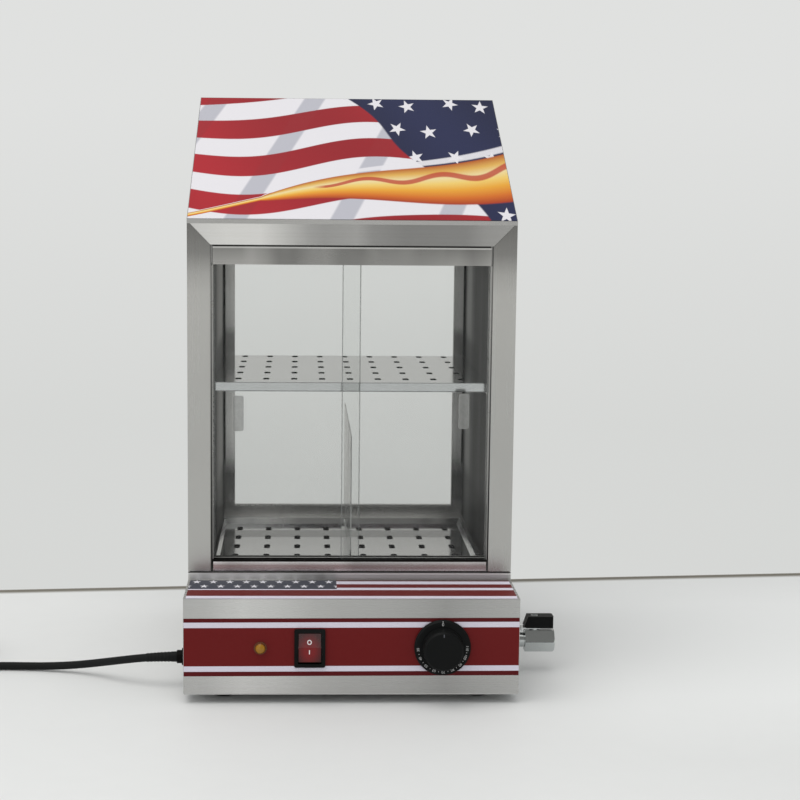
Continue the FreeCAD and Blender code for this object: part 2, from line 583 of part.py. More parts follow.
# Drain valve: hex body with a stub through the tank wall, ball between two seats, stem, lever and outlet
def make_drain_valve():
    y, z = size("drain_back"), size("drain_height")
    hex_x = half_width + size("hex_start")
    end_x = hex_x + size("hex_length")
    ball_x = hex_x + size("ball_offset")
    corner = size("hex_flats") / math.sqrt(3)
    stub_x = tank_half - size("tank_sheet") - size("locknut_length") - wall
    cavity_x = ball_x - size("ball_radius") - wall / 2
    top = z + size("hex_flats") / 2
    # body
    collar_x = tank_half + size("seal_length")
    bar = hexagon("valve_bar", "X", corner, size("hex_length"), hex_x, y, z, 30)
    trim = cone("valve_trim", "X", corner + size("hex_length") - size("hex_chamfer"),
                corner - size("hex_chamfer"), size("hex_length"), hex_x, y, z)
    body = join("valve_block", common("valve_hex", bar, trim),
                rod("valve_stub", "X", size("stub_radius"), hex_x - stub_x + wall, stub_x, y, z),
                rod("valve_collar", "X", size("collar_radius"), size("collar_length"), collar_x, y, z),
                rod("valve_boss", "Z", size("boss_radius"), size("hex_flats") / 4 + size("boss_height"),
                    ball_x, y, top - size("hex_flats") / 4))
    keep(cut("valve_body_cut", body,
             rod("valve_stub_bore", "X", size("stub_bore"), end_x - stub_x, stub_x - overrun, y, z),
             rod("valve_cavity", "X", size("cavity_radius"), end_x - cavity_x + overrun, cavity_x, y, z),
             rod("valve_stem_hole", "Z", size("stem_radius") + size("running_gap"),
                 size("hex_flats") + overrun, ball_x, y, z)), "valve_body")
    # ball with its bore and the slot that the stem turns
    slot_depth = size("ball_radius") / 4
    ball = doc.addObject("Part::Sphere", "valve_ball_sphere")
    bind(ball, "Radius", size("ball_radius"))
    move(ball, ball_x, y, z)
    slot_half = size("stem_radius") / 2
    slot_z = z + size("ball_radius") - slot_depth
    keep(cut("valve_ball_cut", ball,
             rod("ball_bore", "X", size("ball_bore"), 4 * size("ball_radius"), ball_x - 2 * size("ball_radius"),
                 y, z),
             box("ball_slot", ball_x - size("ball_radius"), ball_x + size("ball_radius"),
                 y - slot_half - size("running_gap"), y + slot_half + size("running_gap"), slot_z,
                 z + size("ball_radius") + overrun)), "valve_ball")
    # seats: rings with a cone that clears the ball
    seats = []
    for side in (-1, 1):
        inner_x = ball_x + side * (size("ball_radius") + wall / 2)
        start = inner_x if side < 0 else inner_x - size("seat_length")
        ring = rod(f"seat_ring_{side + 1}", "X", size("cavity_radius") - size("running_gap"), size("seat_length"),
                   start, y, z)
        relief = doc.addObject("Part::Sphere", f"seat_relief_{side + 1}")
        bind(relief, "Radius", size("ball_radius") + size("running_gap"))
        move(relief, ball_x, y, z)
        bore = rod(f"seat_bore_{side + 1}", "X", size("ball_bore"), size("seat_length") + 2 * overrun,
                   start - overrun, y, z)
        seats.append(cut(f"seat_{side + 1}", ring, relief, bore))
    seals.extend(seats)
    # outlet end that closes the cavity and takes a hose tail
    outlet_x = ball_x + size("ball_radius") + wall / 2 + size("running_gap")
    keep(cut("valve_outlet_cut",
             rod("outlet_plug", "X", size("cavity_radius") - size("running_gap"), end_x - outlet_x, outlet_x, y, z),
             rod("outlet_throat", "X", size("ball_bore"), end_x - outlet_x + 2 * overrun, outlet_x - overrun, y, z),
             rod("outlet_bore", "X", size("outlet_radius"), size("outlet_length") - 2 * wall + overrun,
                 end_x - size("outlet_length") + 2 * wall, y, z)), "valve_outlet")
    # stem, stop plate, lever and the nut on top
    stem_low = slot_z + size("running_gap")
    boss_top = top + size("boss_height")
    lever_z = top + size("lever_rise")
    lever_top = lever_z + size("lever_height")
    nut_low = lever_top - size("lever_nut_height")
    stem = rod("stem_round", "Z", size("stem_radius"), lever_top - wall - (z + size("ball_radius") + gap),
               ball_x, y, z + size("ball_radius") + gap)
    tongue = box("stem_tongue", ball_x - size("stem_radius") * 2 / 3, ball_x + size("stem_radius") * 2 / 3,
                 y - slot_half, y + slot_half, stem_low, z + size("ball_radius") + wall)
    keep(join("valve_stem_fuse", stem, tongue), "valve_stem")
    bore_radius = size("stem_radius") + size("running_gap")
    left = ball_x - size("lever_back")
    lever = new_body("valve_lever_body")
    low_left = left - size("lever_slant")
    pad(lever, "lever_pad", "XZ", y - size("lever_width") / 2, size("lever_width"),
        [[(low_left, lever_z + wall), (low_left + size("lever_slant"), lever_z),
          (left + size("lever_length"), lever_z), (left + size("lever_length"), lever_top),
          (left + size("lever_slant"), lever_top)]])
    pocket(lever, "lever_bore", "XY", lever_z - overrun, size("lever_height") + 2 * overrun,
           [((ball_x, y), bore_radius)])
    pocket(lever, "lever_recess", "XY", nut_low, size("lever_nut_height") + overrun,
           [((ball_x, y), size("boss_radius"))])
    soften(lever, "lever_round", size("lever_slant"), lambda edge: runs_along(edge, axis_z))
    keep(lever, "valve_lever")
    nut = hexagon("lever_nut_body", "Z", size("lever_nut_radius"), size("lever_nut_height"), ball_x, y, nut_low)
    nut_bore = rod("lever_nut_bore", "Z", bore_radius, size("lever_nut_height") + 2 * overrun, ball_x, y,
                   nut_low - overrun)
    keep(cut("lever_nut_cut", nut, nut_bore), "lever_nut")
    plate_low = boss_top + size("running_gap")
    strip = box("stop_strip", left - size("stop_tab"), ball_x + size("boss_radius"), y - size("boss_radius"),
                y + size("boss_radius"), plate_low, lever_z)
    tab = box("stop_tab_block", left - size("stop_tab"), left - size("stop_tab") + wall, y - size("boss_radius"),
              y + size("boss_radius"), top - size("stop_drop"), lever_z)
    strip_bore = rod("stop_bore", "Z", bore_radius, 4 * overrun, ball_x, y, top - overrun)
    keep(cut("stop_plate_cut", join("stop_plate_fuse", strip, tab), strip_bore), "valve_stop_plate")
    # rubber seal outside the tank wall and locknut inside it
    ring_bore = size("stub_radius") + size("running_gap")
    seal = rod("drain_seal_body", "X", size("collar_radius"), size("seal_length"), tank_half, y, z)
    seal_bore = rod("drain_seal_bore", "X", ring_bore, size("seal_length") + 2 * overrun, tank_half - overrun, y, z)
    seals.append(cut("drain_seal", seal, seal_bore))
    nut_x = tank_half - size("tank_sheet") - size("locknut_length")
    locknut = hexagon("locknut_body", "X", size("locknut_radius"), size("locknut_length"), nut_x, y, z, 30)
    locknut_bore = rod("locknut_bore", "X", ring_bore, size("locknut_length") + 2 * overrun, nut_x - overrun, y, z)
    keep(cut("locknut_cut", locknut, locknut_bore), "drain_locknut")


# Thermostat behind the panel, with its screws and its bulb in the tank
def make_thermostat():
    x, z = knob_place
    half = size("thermostat_width") / 2
    rise = size("thermostat_height") / 2
    back = wall + size("thermostat_depth")
    body = box("thermostat_block", x - half, x + half, wall, back, z - rise, z + rise)
    spades = [
        box(f"thermostat_spade_{side + 1}", x + side * half / 2 - size("spade_width") / 2,
            x + side * half / 2 + size("spade_width") / 2, back - wall, back + size("spade_length"),
            z + rise / 2, z + rise / 2 + size("spade_thick"))
        for side in (-1, 1)
    ]
    well = rod("thermostat_well", "Y", size("spindle_radius") + size("running_gap"),
               size("spindle_tail") + wall + gap, x, 0, z)
    screw_bores = [
        rod(f"thermostat_thread_{side + 1}", "Y", size("screw_radius") * 3 / 4 + size("thread_gap"), 3 * overrun,
            x + side * size("thermostat_screw_pitch") / 2, -overrun, z)
        for side in (-1, 1)
    ]
    keep(cut("thermostat_cut", join("thermostat_fuse", body, *spades), well, *screw_bores), "thermostat_body")
    screws = []
    for side in (-1, 1):
        screw_x = x + side * size("thermostat_screw_pitch") / 2
        head = rod(f"thermostat_screw_head_{side + 1}", "Y", size("screw_radius") * 3 / 2, wall,
                   screw_x, -size("decal") - wall, z)
        shank = rod(f"thermostat_screw_shank_{side + 1}", "Y", size("screw_radius") * 3 / 4,
                    2 * overrun - 2 * wall, screw_x, -size("decal") - wall / 2, z)
        screws.append(join(f"thermostat_screw_{side + 1}", head, shank))
    keep(group("thermostat_screw_group", screws), "thermostat_screws")
    # spindle with a flat
    tip = 2 * size("cap_wall") - knob_reach
    spindle = rod("spindle_round", "Y", size("spindle_radius"), wall + size("spindle_tail") - tip, x, tip, z)
    flat = box("spindle_flat", x - 2 * size("spindle_radius"), x + 2 * size("spindle_radius"), tip - overrun,
               -size("decal") - size("skirt_gap"), z + size("spindle_radius") / 2, z + 2 * size("spindle_radius"))
    keep(cut("spindle_cut", spindle, flat), "thermostat_spindle")
    # sensing bulb and capillary through a small gland in the tank's front wall
    bulb_z = size("bulb_height")
    parts = [
        rod("capillary_rod", "Y", size("capillary_radius"), size("bulb_start") - back, bulb_x, back, bulb_z),
        rod("bulb_rod", "Y", size("bulb_radius"), size("bulb_length"), bulb_x, size("bulb_start"), bulb_z),
        rod("bulb_gland_neck", "Y", size("bulb_gland_radius") - size("thread_gap"), size("bulb_gland_length"),
            bulb_x, size("tank_front") - wall, bulb_z),
        rod("bulb_gland_flange", "Y", size("bulb_gland_radius") + wall, wall, bulb_x,
            size("tank_front") - wall, bulb_z),
    ]
    keep(join("bulb_fuse", *parts), "thermostat_bulb")


# Dial knob: numbered skirt on a hub, and a grip cap over it
def make_knob():
    x, z = knob_place
    skirt_back = size("decal") + size("skirt_gap")
    skirt_front = skirt_back + size("skirt_length")
    bore = size("spindle_radius") + size("running_gap")
    hub_end = skirt_front + size("cap_length") - size("cap_wall") - gap
    skirt = new_body("knob_skirt_body")
    move(skirt, x, 0, z)
    edge = size("skirt_length") / 2
    revolve(skirt, "skirt_turn", "XY", "Y",
            [(bore, -skirt_back), (size("skirt_radius"), -skirt_back), (size("skirt_radius"), -skirt_back - edge),
             (size("skirt_radius") - edge, -skirt_front), (size("hub_radius"), -skirt_front),
             (size("hub_radius"), -hub_end), (bore, -hub_end)])
    keep(skirt, "knob_skirt")
    cap = new_body("knob_cap_body")
    move(cap, x, 0, z)
    start = skirt_front + gap
    front = skirt_front + size("cap_length")
    inner = size("cap_radius") - size("cap_wall")
    grip = size("hub_radius") + size("running_gap")
    slope = size("cap_fillet")
    revolve(cap, "cap_turn", "XY", "Y",
            [(inner, -start), (size("cap_radius"), -start), (size("cap_radius") - slope / 2, slope - front),
             (size("cap_radius") - slope - slope / 2, -front), (0, -front), (0, size("cap_wall") - front),
             (grip, size("cap_wall") - front), (grip, -start - slope), (grip + size("cap_wall"), -start - slope),
             (grip + size("cap_wall"), 2 * size("cap_wall") - front), (inner, 2 * size("cap_wall") - front)])
    keep(cap, "knob_cap")


# Rocker switch: bezel with its housing, the rocker on its pivot, and spade terminals
def make_switch():
    x, z = switch_place
    face = size("decal")
    half_x, half_z = size("bezel_width") / 2, size("bezel_height") / 2
    body_x, body_z = size("housing_width") / 2, size("housing_height") / 2
    open_x = size("rocker_width") / 2 + size("rocker_gap")
    open_z = size("rocker_half") + 3 * size("rocker_gap")
    pivot_y = size("pivot_depth")
    housing = new_body("switch_housing_body")
    pad(housing, "bezel_pad", "XZ", -face - size("bezel_thick"), size("bezel_thick"),
        [rectangle(x - half_x, x + half_x, z - half_z, z + half_z)])
    soften(housing, "bezel_round", size("bezel_fillet"), lambda edge: runs_along(edge, axis_y))
    pad(housing, "housing_pad", "XZ", -face, face + size("housing_depth"),
        [rectangle(x - body_x, x + body_x, z - body_z, z + body_z)])
    pocket(housing, "rocker_well", "XZ", -face - size("bezel_thick") - overrun,
           face + size("bezel_thick") + overrun + size("housing_depth") - size("housing_floor"),
           [rectangle(x - open_x, x + open_x, z - open_z, z + open_z)])
    pin = size("pivot_radius") + size("running_gap")
    pocket(housing, "pivot_hole", "YZ", x - open_x - size("pivot_length"),
           2 * open_x + 2 * size("pivot_length"), [((pivot_y, z), pin)])
    spade_low = size("housing_depth") - size("housing_floor") / 2
    pad(housing, "switch_spades", "XZ", spade_low, size("housing_floor") / 2 + size("spade_length"),
        [rectangle(x - size("spade_width") / 2, x + size("spade_width") / 2,
                   z + step * size("terminal_pitch") - size("spade_thick") / 2,
                   z + step * size("terminal_pitch") + size("spade_thick") / 2) for step in (-1, 0, 1)])
    keep(housing, "switch_housing")
    # rocker drawn level about its pivot, then tipped with its upper end in
    rocker = new_body("switch_rocker_body")
    run = size("rocker_half")
    crown = size("rocker_crown")
    tilt = math.radians(dimensions["rocker_tilt"])
    end_y, end_z = -crown - run * math.sin(tilt), run * math.cos(tilt)
    half = size("rocker_width") / 2
    pad(rocker, "rocker_pad", "YZ", -half, size("rocker_width"),
        [[(end_y, -end_z), (-crown, 0), (end_y, end_z), (end_y + crown / 2, end_z),
          (size("rocker_back"), end_z * 0.7), (size("rocker_back"), -end_z * 0.7), (end_y + crown / 2, -end_z)]])
    reach = half + size("rocker_gap") + size("pivot_length") - size("running_gap") * 2
    pad(rocker, "rocker_pins", "YZ", -reach, 2 * reach, [((0, 0), size("pivot_radius"))])
    move(rocker, x, pivot_y, z)
    rocker.Placement.Rotation = FreeCAD.Rotation(axis_x, -dimensions["rocker_tilt"])
    keep(rocker, "switch_rocker")


# Indicator lamp: lens and body behind the panel
def make_lamp():
    x, z = lamp_place
    face = size("decal")
    lens = new_body("lamp_lens_body")
    move(lens, x, 0, z)
    flange = face + size("lens_flange")
    dome = flange + size("lens_dome")
    radius = size("lens_radius")
    revolve(lens, "lens_turn", "XY", "Y",
            [(0, -face), (size("lens_flange_radius"), -face), (size("lens_flange_radius"), -flange),
             (radius, -flange), (radius * 0.95, -flange - size("lens_dome") * 0.35),
             (radius * 0.72, -flange - size("lens_dome") * 0.72), (radius * 0.35, -dome + size("lens_dome") * 0.06),
             (0, -dome)])
    keep(lens, "lamp_lens")
    tube = rod("lamp_tube", "Y", size("lamp_body_radius"), size("lamp_body_length") + face, x, -face, z)
    legs = [
        box(f"lamp_leg_{side + 1}", x + side * size("lamp_body_radius") / 2 - size("spade_thick") / 2,
            x + side * size("lamp_body_radius") / 2 + size("spade_thick") / 2, size("lamp_body_length") - wall,
            size("lamp_body_length") + size("spade_length"), z - size("spade_width") / 4,
            z + size("spade_width") / 4)
        for side in (-1, 1)
    ]
    keep(join("lamp_body_fuse", tube, *legs), "lamp_body")


# Terminal block, thermal cut-out and the wires between them
def make_wiring_parts():
    x, y = size("block_side") - half_width, size("block_y")
    block_x_high = x + size("block_width")
    block = box("block_body", x, block_x_high, y, y + size("block_length"), base_low, base_low + size("block_height"))
    bores = [
        rod(f"block_bore_{step}", "X", size("wire_radius") + gap, size("block_width") + 2 * overrun, x - overrun,
            y + (step + 0.5) * size("block_length") / 3, base_low + size("block_height") / 2)
        for step in range(3)
    ]
    keep(cut("terminal_block_cut", block, *bores), "terminal_block")
    disc_y = size("tank_front") - size("cutout_length")
    disc = rod("cutout_disc", "Y", size("cutout_radius"), size("cutout_length"), 0, disc_y, size("bulb_height"))
    tags = [
        box(f"cutout_tag_{side + 1}", side * size("cutout_radius") / 2 - size("spade_width") / 4,
            side * size("cutout_radius") / 2 + size("spade_width") / 4, disc_y - size("spade_length"),
            disc_y + wall, size("bulb_height"), size("bulb_height") + size("spade_thick"))
        for side in (-1, 1)
    ]
    keep(join("thermal_cutout_fuse", disc, *tags), "thermal_cutout")
    # wires as round bundles along straight runs with tangent arcs
    block_z = base_low + size("block_height") / 2
    bore_y = [y + (step + 0.5) * size("block_length") / 3 for step in range(3)]
    lamp_tail = size("lamp_body_length") + size("spade_length") + gap
    switch_tail = size("housing_depth") + size("spade_length") + gap
    thermostat_tail = wall + size("thermostat_depth") + size("spade_length") + gap
    pin_tail = size("tank_front") - size("cold_end") - size("pin_length") - gap
    spade_x = knob_place[0] - size("thermostat_width") / 4
    spade_z = size("knob_z") + size("thermostat_height") / 4 + size("spade_thick") / 2
    bend = size("element_bend")
    lane = size("fitting_nut_radius")
    routes = [
        # terminal block to the switch's lower spade
        [(block_x_high + gap, bore_y[0], block_z), (block_x_high + lane, bore_y[0], block_z),
         (switch_place[0] - 2 * lane, bore_y[0] + lane, size("bulb_height") - lane),
         (switch_place[0], switch_tail + lane, size("switch_z") - size("terminal_pitch")),
         (switch_place[0], switch_tail, size("switch_z") - size("terminal_pitch"))],
        # switch's upper spade to the thermostat
        [(switch_place[0], switch_tail, size("switch_z") + size("terminal_pitch")),
         (switch_place[0], switch_tail + lane, size("switch_z") + size("terminal_pitch")),
         (spade_x, thermostat_tail + lane, spade_z), (spade_x, thermostat_tail, spade_z)],
        # block to the left pin of the element
        [(block_x_high + gap, bore_y[2], block_z), (block_x_high + 2 * lane, bore_y[2], block_z),
         (-bend, bore_y[2] - lane / 2, size("element_height")), (-bend, pin_tail, size("element_height"))],
        # thermostat to the right pin of the element
        [(spade_x + size("thermostat_width") / 2, thermostat_tail, spade_z),
         (spade_x + size("thermostat_width") / 2, thermostat_tail + lane, spade_z),
         (bend, pin_tail - lane, size("element_height")), (bend, pin_tail, size("element_height"))],
    ]
    # three cores from the lead's jacket to the block
    jacket_x = wall - half_width + size("gland_tail") + gap
    spread = size("cord_radius") / 2
    cores = [(-spread, -spread / 2), (0, spread), (spread, -spread / 2)]
    for (core_y, core_z), end_y in zip(cores, bore_y):
        start_y, start_z = size("gland_y") + core_y, size("gland_z") + core_z
        routes.append([(jacket_x, start_y, start_z), (jacket_x + lane, start_y, start_z),
                       (x - lane, end_y, block_z), (x - gap, end_y, block_z)])
    pieces = [tube_along(route, size("wire_radius")) for route in routes]
    gland_end = size("gland_length") - 3 * wall
    pieces.append(tube_on([Part.LineSegment(
        place(gap - half_width - gland_end, size("gland_y"), size("gland_z")),
        place(jacket_x - gap, size("gland_y"), size("gland_z"))).toShape()], size("cord_radius"))[0])
    wires = doc.addObject("Part::Feature", "wiring_shape")
    wires.Shape = Part.makeCompound(pieces)
    keep(wires, "wiring")


# Plinth and cabinet floor: a low frame on the deck, and an inset plate that leaves a shadow groove
def make_plinth():
    flange = size("bottom_flange")
    block = box("plinth_block", -half_width, half_width, cabinet_front, depth, deck_z, plinth_z)
    hollow = box("plinth_hollow", wall - half_width, half_width - wall, cabinet_front + wall, depth - wall,
                 deck_z - overrun, plinth_z - wall)
    mouth = box("plinth_mouth", flange - half_width, half_width - flange, cabinet_front + flange, depth - flange,
                plinth_z - wall - overrun, plinth_z + overrun)
    keep(cut("plinth_cut", block, hollow, mouth), "plinth")
    inset = size("groove_inset")
    opening = tank_half - size("opening_side_gap")
    front, back = size("tank_front") + size("opening_front_gap"), tank_back - size("opening_back_gap")
    plate = new_body("cabinet_floor_body")
    pad(plate, "floor_pad", "XY", plinth_z, wall,
        [rectangle(inset - half_width, half_width - inset, cabinet_front + inset, depth - inset),
         rectangle(-opening, opening, front, back)])
    keep(plate, "cabinet_floor")


# Front frame: two channel posts and a channel rail, mitred where they meet
def make_front_frame():
    rail_low = eave_z - size("rail_face")
    length = size("frame_depth")
    posts = []
    for side in (-1, 1):
        post = new_body(f"front_post_{side + 1}")
        outer, inner = side * half_width, side * inner_half
        pad(post, f"post_pad_{side + 1}", "XZ", cabinet_front, length,
            [[(outer, floor_z), (inner, floor_z), (inner, rail_low - size("mitre_gap")),
              (outer, eave_z - size("mitre_gap"))]])
        low, high = (outer + wall, inner - wall) if side < 0 else (inner + wall, outer - wall)
        pocket(post, f"post_channel_{side + 1}", "XZ", cabinet_front + wall, length,
               [rectangle(low, high, floor_z - overrun, eave_z + overrun)])
        posts.append(post)
    keep(group("front_post_group", posts), "front_posts")
    rail = new_body("front_top_rail_body")
    pad(rail, "rail_pad", "XZ", cabinet_front, length,
        [[(-half_width, eave_z), (-inner_half, rail_low), (inner_half, rail_low), (half_width, eave_z)]])
    pocket(rail, "rail_channel", "XZ", cabinet_front + wall, length,
           [rectangle(-half_width - overrun, half_width + overrun, rail_low + wall, eave_z - wall)])
    keep(rail, "front_top_rail")


# The roof's slope as a line: where its underside lies, and how far a level offset shifts it
ridge_y = depth - size("ridge_width")
lip_y = cabinet_front - wall
lip_top = eave_z + wall
slope_run = ridge_y - lip_y
slope_rise = ridge_z - lip_top
slope_length = root(slope_run * slope_run + slope_rise * slope_rise)


def under_slope(drop, z):
    """Where a line that lies a drop below the slope's face, square to it, passes a level."""
    return lip_y + (z - lip_top) * slope_run / slope_rise + drop * slope_length / slope_rise


# Roof: one folded sheet from the front lip over the ridge and down the back
def make_roof():
    lip_low = eave_z - size("roof_lip")
    back_low = eave_z + gap
    lip_back = lip_y + wall
    under_z = lip_top + (lip_back - lip_y) * slope_rise / slope_run - wall * slope_length / slope_run
    roof = new_body("roof_sheet_body")
    pad(roof, "roof_pad", "YZ", -half_width, 2 * half_width,
        [[(lip_y, lip_low), (lip_y, lip_top), (ridge_y, ridge_z), (depth, ridge_z), (depth, back_low),
          (depth - wall, back_low), (depth - wall, ridge_z - wall), (under_slope(wall, ridge_z - wall), ridge_z - wall),
          (lip_back, under_z), (lip_back, lip_low)]])
    keep(roof, "roof_sheet")
    # printed panel on the slope
    margin = wall
    film = size("decal")

    def on_slope(share, lift):
        return (lip_y + slope_run * share - slope_rise / slope_length * lift,
                lip_top + slope_rise * share + slope_run / slope_length * lift)

    low_share, high_share = margin / slope_length, 1 - margin / slope_length
    print_panel = new_body("roof_decal_body")
    pad(print_panel, "roof_decal_pad", "YZ", margin / 2 - half_width, 2 * half_width - margin,
        [[on_slope(low_share, 0), on_slope(high_share, 0), on_slope(high_share, film), on_slope(low_share, film)]])
    keep(print_panel, "roof_decal")


# Where the shelf ledges are screwed to the liners, as places in the side view
shelf_top = floor_z + size("shelf_top")
ledge_hole = size("screw_radius") + size("screw_clearance")
ledge_spots = [
    ((frame_back + rear_plane) / 2 + turn * ((rear_plane - frame_back) / 2 - size("ledge_screw_end")), shelf_top - size("shelf_sheet") - size("ledge") / 2)
    for turn in (-1, 0, 1)
]


# Side panels: outer walls that run on into the gables, and the inner liner walls
def make_walls():
    front = frame_back + gap * 2 / 3
    back = rear_plane - gap * 2 / 3
    peak = ridge_z - wall - gap
    shoulder = eave_z + gap
    hem = size("bottom_flange")
    panels, liners = [], []
    for side in (-1, 1):
        panel = new_body(f"side_panel_{side + 1}")
        start = half_width - wall if side > 0 else -half_width
        pad(panel, f"side_pad_{side + 1}", "YZ", start, wall,
            [[(front, floor_z), (back, floor_z), (back, shoulder), (depth - wall - gap, shoulder),
              (depth - wall - gap, peak), (under_slope(wall + gap, peak), peak),
              (under_slope(wall + gap, shoulder), shoulder), (front, shoulder)]])
        hem_start = half_width - hem if side > 0 else -half_width
        pad(panel, f"side_hem_{side + 1}", "YZ", hem_start, hem,
            [rectangle(front, back, floor_z, floor_z + wall)])
        panels.append(panel)
        liner_x = inner_half if side > 0 else -inner_half - wall
        liner = new_body(f"liner_{side + 1}")
        pad(liner, f"liner_pad_{side + 1}", "YZ", liner_x, wall, [rectangle(front, back, floor_z, ceiling_z)])
        pocket(liner, f"liner_holes_{side + 1}", "YZ", liner_x - wall, 3 * wall,
               [(spot, ledge_hole) for spot in ledge_spots])
        liners.append(liner)
    keep(group("side_panel_group", panels), "side_panels")
    keep(group("liner_group", liners), "liner_walls")
    edge = half_width - wall - gap
    keep(box("ceiling_sheet", -edge, edge, front, back, ceiling_z, ceiling_z + wall), "ceiling_panel")


# Rear wall: formed frame, glass behind its opening, and a formed cover that clamps the glass
def make_rear():
    half = inner_half - size("rear_flange")
    sill, head = floor_z + size("window_sill"), eave_z - size("window_head")
    frame = new_body("rear_frame_body")
    pad(frame, "rear_frame_pad", "XZ", rear_plane, size("rear_depth"),
        [rectangle(-half_width, half_width, floor_z, eave_z)])
    pocket(frame, "rear_frame_tray", "XZ", rear_plane + wall, size("rear_depth"),
           [rectangle(wall - half_width, half_width - wall, floor_z + wall, eave_z - wall)])
    cover_back = depth - size("screw_head_height")
    cover_face = cover_back - wall
    screw_x = half_width - size("bottom_flange")
    middle = (sill + head) / 2
    reach = (head - sill) / 2 - size("rear_screw_end")
    places = [(side * screw_x, middle + step * reach) for side in (-1, 1) for step in (-1, 0, 1)]
    hole = size("screw_radius") + size("screw_clearance")
    pocket(frame, "rear_window", "XZ", rear_plane - overrun, 2 * overrun,
           [rectangle(-half, half, sill, head)])
    keep(frame, "rear_frame")
    edge = size("rear_glass_edge")
    glass_front = rear_plane + wall + gap
    glass_back = glass_front + size("glass")
    keep(box("rear_glass_sheet", -half - edge, half + edge, glass_front, glass_back, sill - edge, head + edge),
         "rear_glass")
    cover = new_body("rear_cover_body")
    inset = wall + gap
    pad(cover, "cover_pad", "XZ", cover_face, wall,
        [rectangle(inset - half_width, half_width - inset, floor_z + inset, eave_z - inset),
         rectangle(-half, half, sill, head)] + [(spot, hole) for spot in places])
    pad(cover, "cover_collar", "XZ", glass_back + gap, cover_face - glass_back,
        [rectangle(-half - wall, half + wall, sill - wall, head + wall), rectangle(-half, half, sill, head)])
    boss = hole + wall
    pad(cover, "cover_bosses", "XZ", rear_plane + wall + gap, cover_face - rear_plane - wall,
        [(spot, boss) for spot in places])
    pocket(cover, "cover_bores", "XZ", rear_plane, cover_back - rear_plane + overrun,
           [(spot, hole) for spot in places])
    keep(cover, "rear_cover")
    for x, z in places:
        panel_screw("Y", False, x, cover_back, z)


# Door tracks: a twin groove rail above, a channel with a grooved runner below, and jambs at the sides
track_low = eave_z - size("rail_face") - size("track_gap") - size("upper_track_height")
lower_top = floor_z + size("lower_track_height")
runner_top = lower_top + size("runner_rise")
runner_floor = floor_z + wall + size("runner_floor")
track_y = cabinet_front + size("track_recess")
grooves = [
    track_y + size("track_wall") + step * (size("groove_width") + size("groove_rib")) for step in (0, 1)
]
track_back = grooves[1] + size("groove_width") + size("track_wall")
pane_front = [start + (size("groove_width") - size("glass")) / 2 for start in grooves]
pane_low = runner_floor + gap
pane_high = track_low + size("door_engage")
pane_edge = inner_half - size("door_side_gap")


def make_tracks():
    half = inner_half - size("track_end_gap")
    top = track_low + size("upper_track_height")
    track = new_body("upper_track_body")
    pad(track, "track_pad", "YZ", -half, 2 * half, [rectangle(track_y, track_back, track_low, top)])
    pocket(track, "track_grooves", "YZ", -half - overrun, 2 * half + 2 * overrun,
           [rectangle(start, start + size("groove_width"), track_low - overrun, top - size("track_wall"))
            for start in grooves])
    middle = (track_y + track_back) / 2
    spacer = size("track_spacer_width") / 2
    pad(track, "track_spacer", "YZ", -half, 2 * half,
        [rectangle(middle - spacer, middle + spacer, top - size("track_wall") / 2, top + size("track_gap"))])
    keep(track, "upper_door_track")
    lower = new_body("lower_track_body")
    pad(lower, "lower_pad", "YZ", -half, 2 * half,
        [[(track_y, floor_z), (track_back, floor_z), (track_back, lower_top), (track_back - wall, lower_top),
          (track_back - wall, floor_z + wall), (track_y + wall, floor_z + wall), (track_y + wall, lower_top),
          (track_y, lower_top)]])
    keep(lower, "lower_door_track")
    runner = new_body("door_runner_body")
    pad(runner, "runner_pad", "YZ", -half, 2 * half,
        [rectangle(track_y + wall, track_back - wall, floor_z + wall, runner_top)])
    pocket(runner, "runner_grooves", "YZ", -half - overrun, 2 * half + 2 * overrun,
           [rectangle(start, start + size("groove_width"), runner_floor, runner_top + overrun)
            for start in grooves])
    keep(runner, "door_runner")
    jambs = []
    jamb_low, jamb_high = runner_top + gap, track_low - gap
    for side in (-1, 1):
        jamb = new_body(f"door_jamb_{side + 1}")
        base = side * inner_half
        tip = side * (inner_half - wall - size("jamb_lip"))
        step = side * wall
        pad(jamb, f"jamb_pad_{side + 1}", "XY", jamb_low, jamb_high - jamb_low,
            [[(base, track_y), (tip, track_y), (tip, track_y + wall), (base - step, track_y + wall),
              (base - step, track_back - wall), (tip, track_back - wall), (tip, track_back), (base, track_back)]])
        jambs.append(jamb)
    keep(group("door_jamb_group", jambs), "door_jambs")


# Sliding doors: a pane each, with a frosted finger plate near its outer edge
def make_doors():
    overlap = size("door_overlap")
    spans = {"right": (-overlap, pane_edge, pane_front[0]), "left": (-pane_edge, overlap, pane_front[1])}
    for name, (low, high, front) in spans.items():
        pane = new_body(f"{name}_pane_body")
        pad(pane, f"{name}_pane_pad", "XZ", front, size("glass"), [rectangle(low, high, pane_low, pane_high)])
        soften(pane, f"{name}_pane_edges", gap, lambda edge: runs_along(edge, axis_z))
        keep(pane, f"{name}_door_glass")
        bottom = floor_z + size(f"{name}_plate_bottom")
        if name == "right":
            left = high - size("plate_inset") - size("plate_width")
        else:
            left = low + size("plate_inset")
        plate = new_body(f"{name}_plate_body")
        pad(plate, f"{name}_plate_pad", "XZ", front - size("plate_thick"), size("plate_thick"),
            [rectangle(left, left + size("plate_width"), bottom, bottom + size("plate_height"))])
        soften(plate, f"{name}_plate_corners", size("plate_fillet"), lambda edge: runs_along(edge, axis_y))
        keep(plate, f"{name}_door_plate")


# Slot rows and columns as shares of the sheet's depth and width
shelf_column_share, shelf_row_share, shelf_first_share = 0.1027, 0.21, 0.115
tray_column_share, tray_middle_share, tray_row_share, tray_first_share = 0.1194, 0.1376, 0.2198, 0.1923


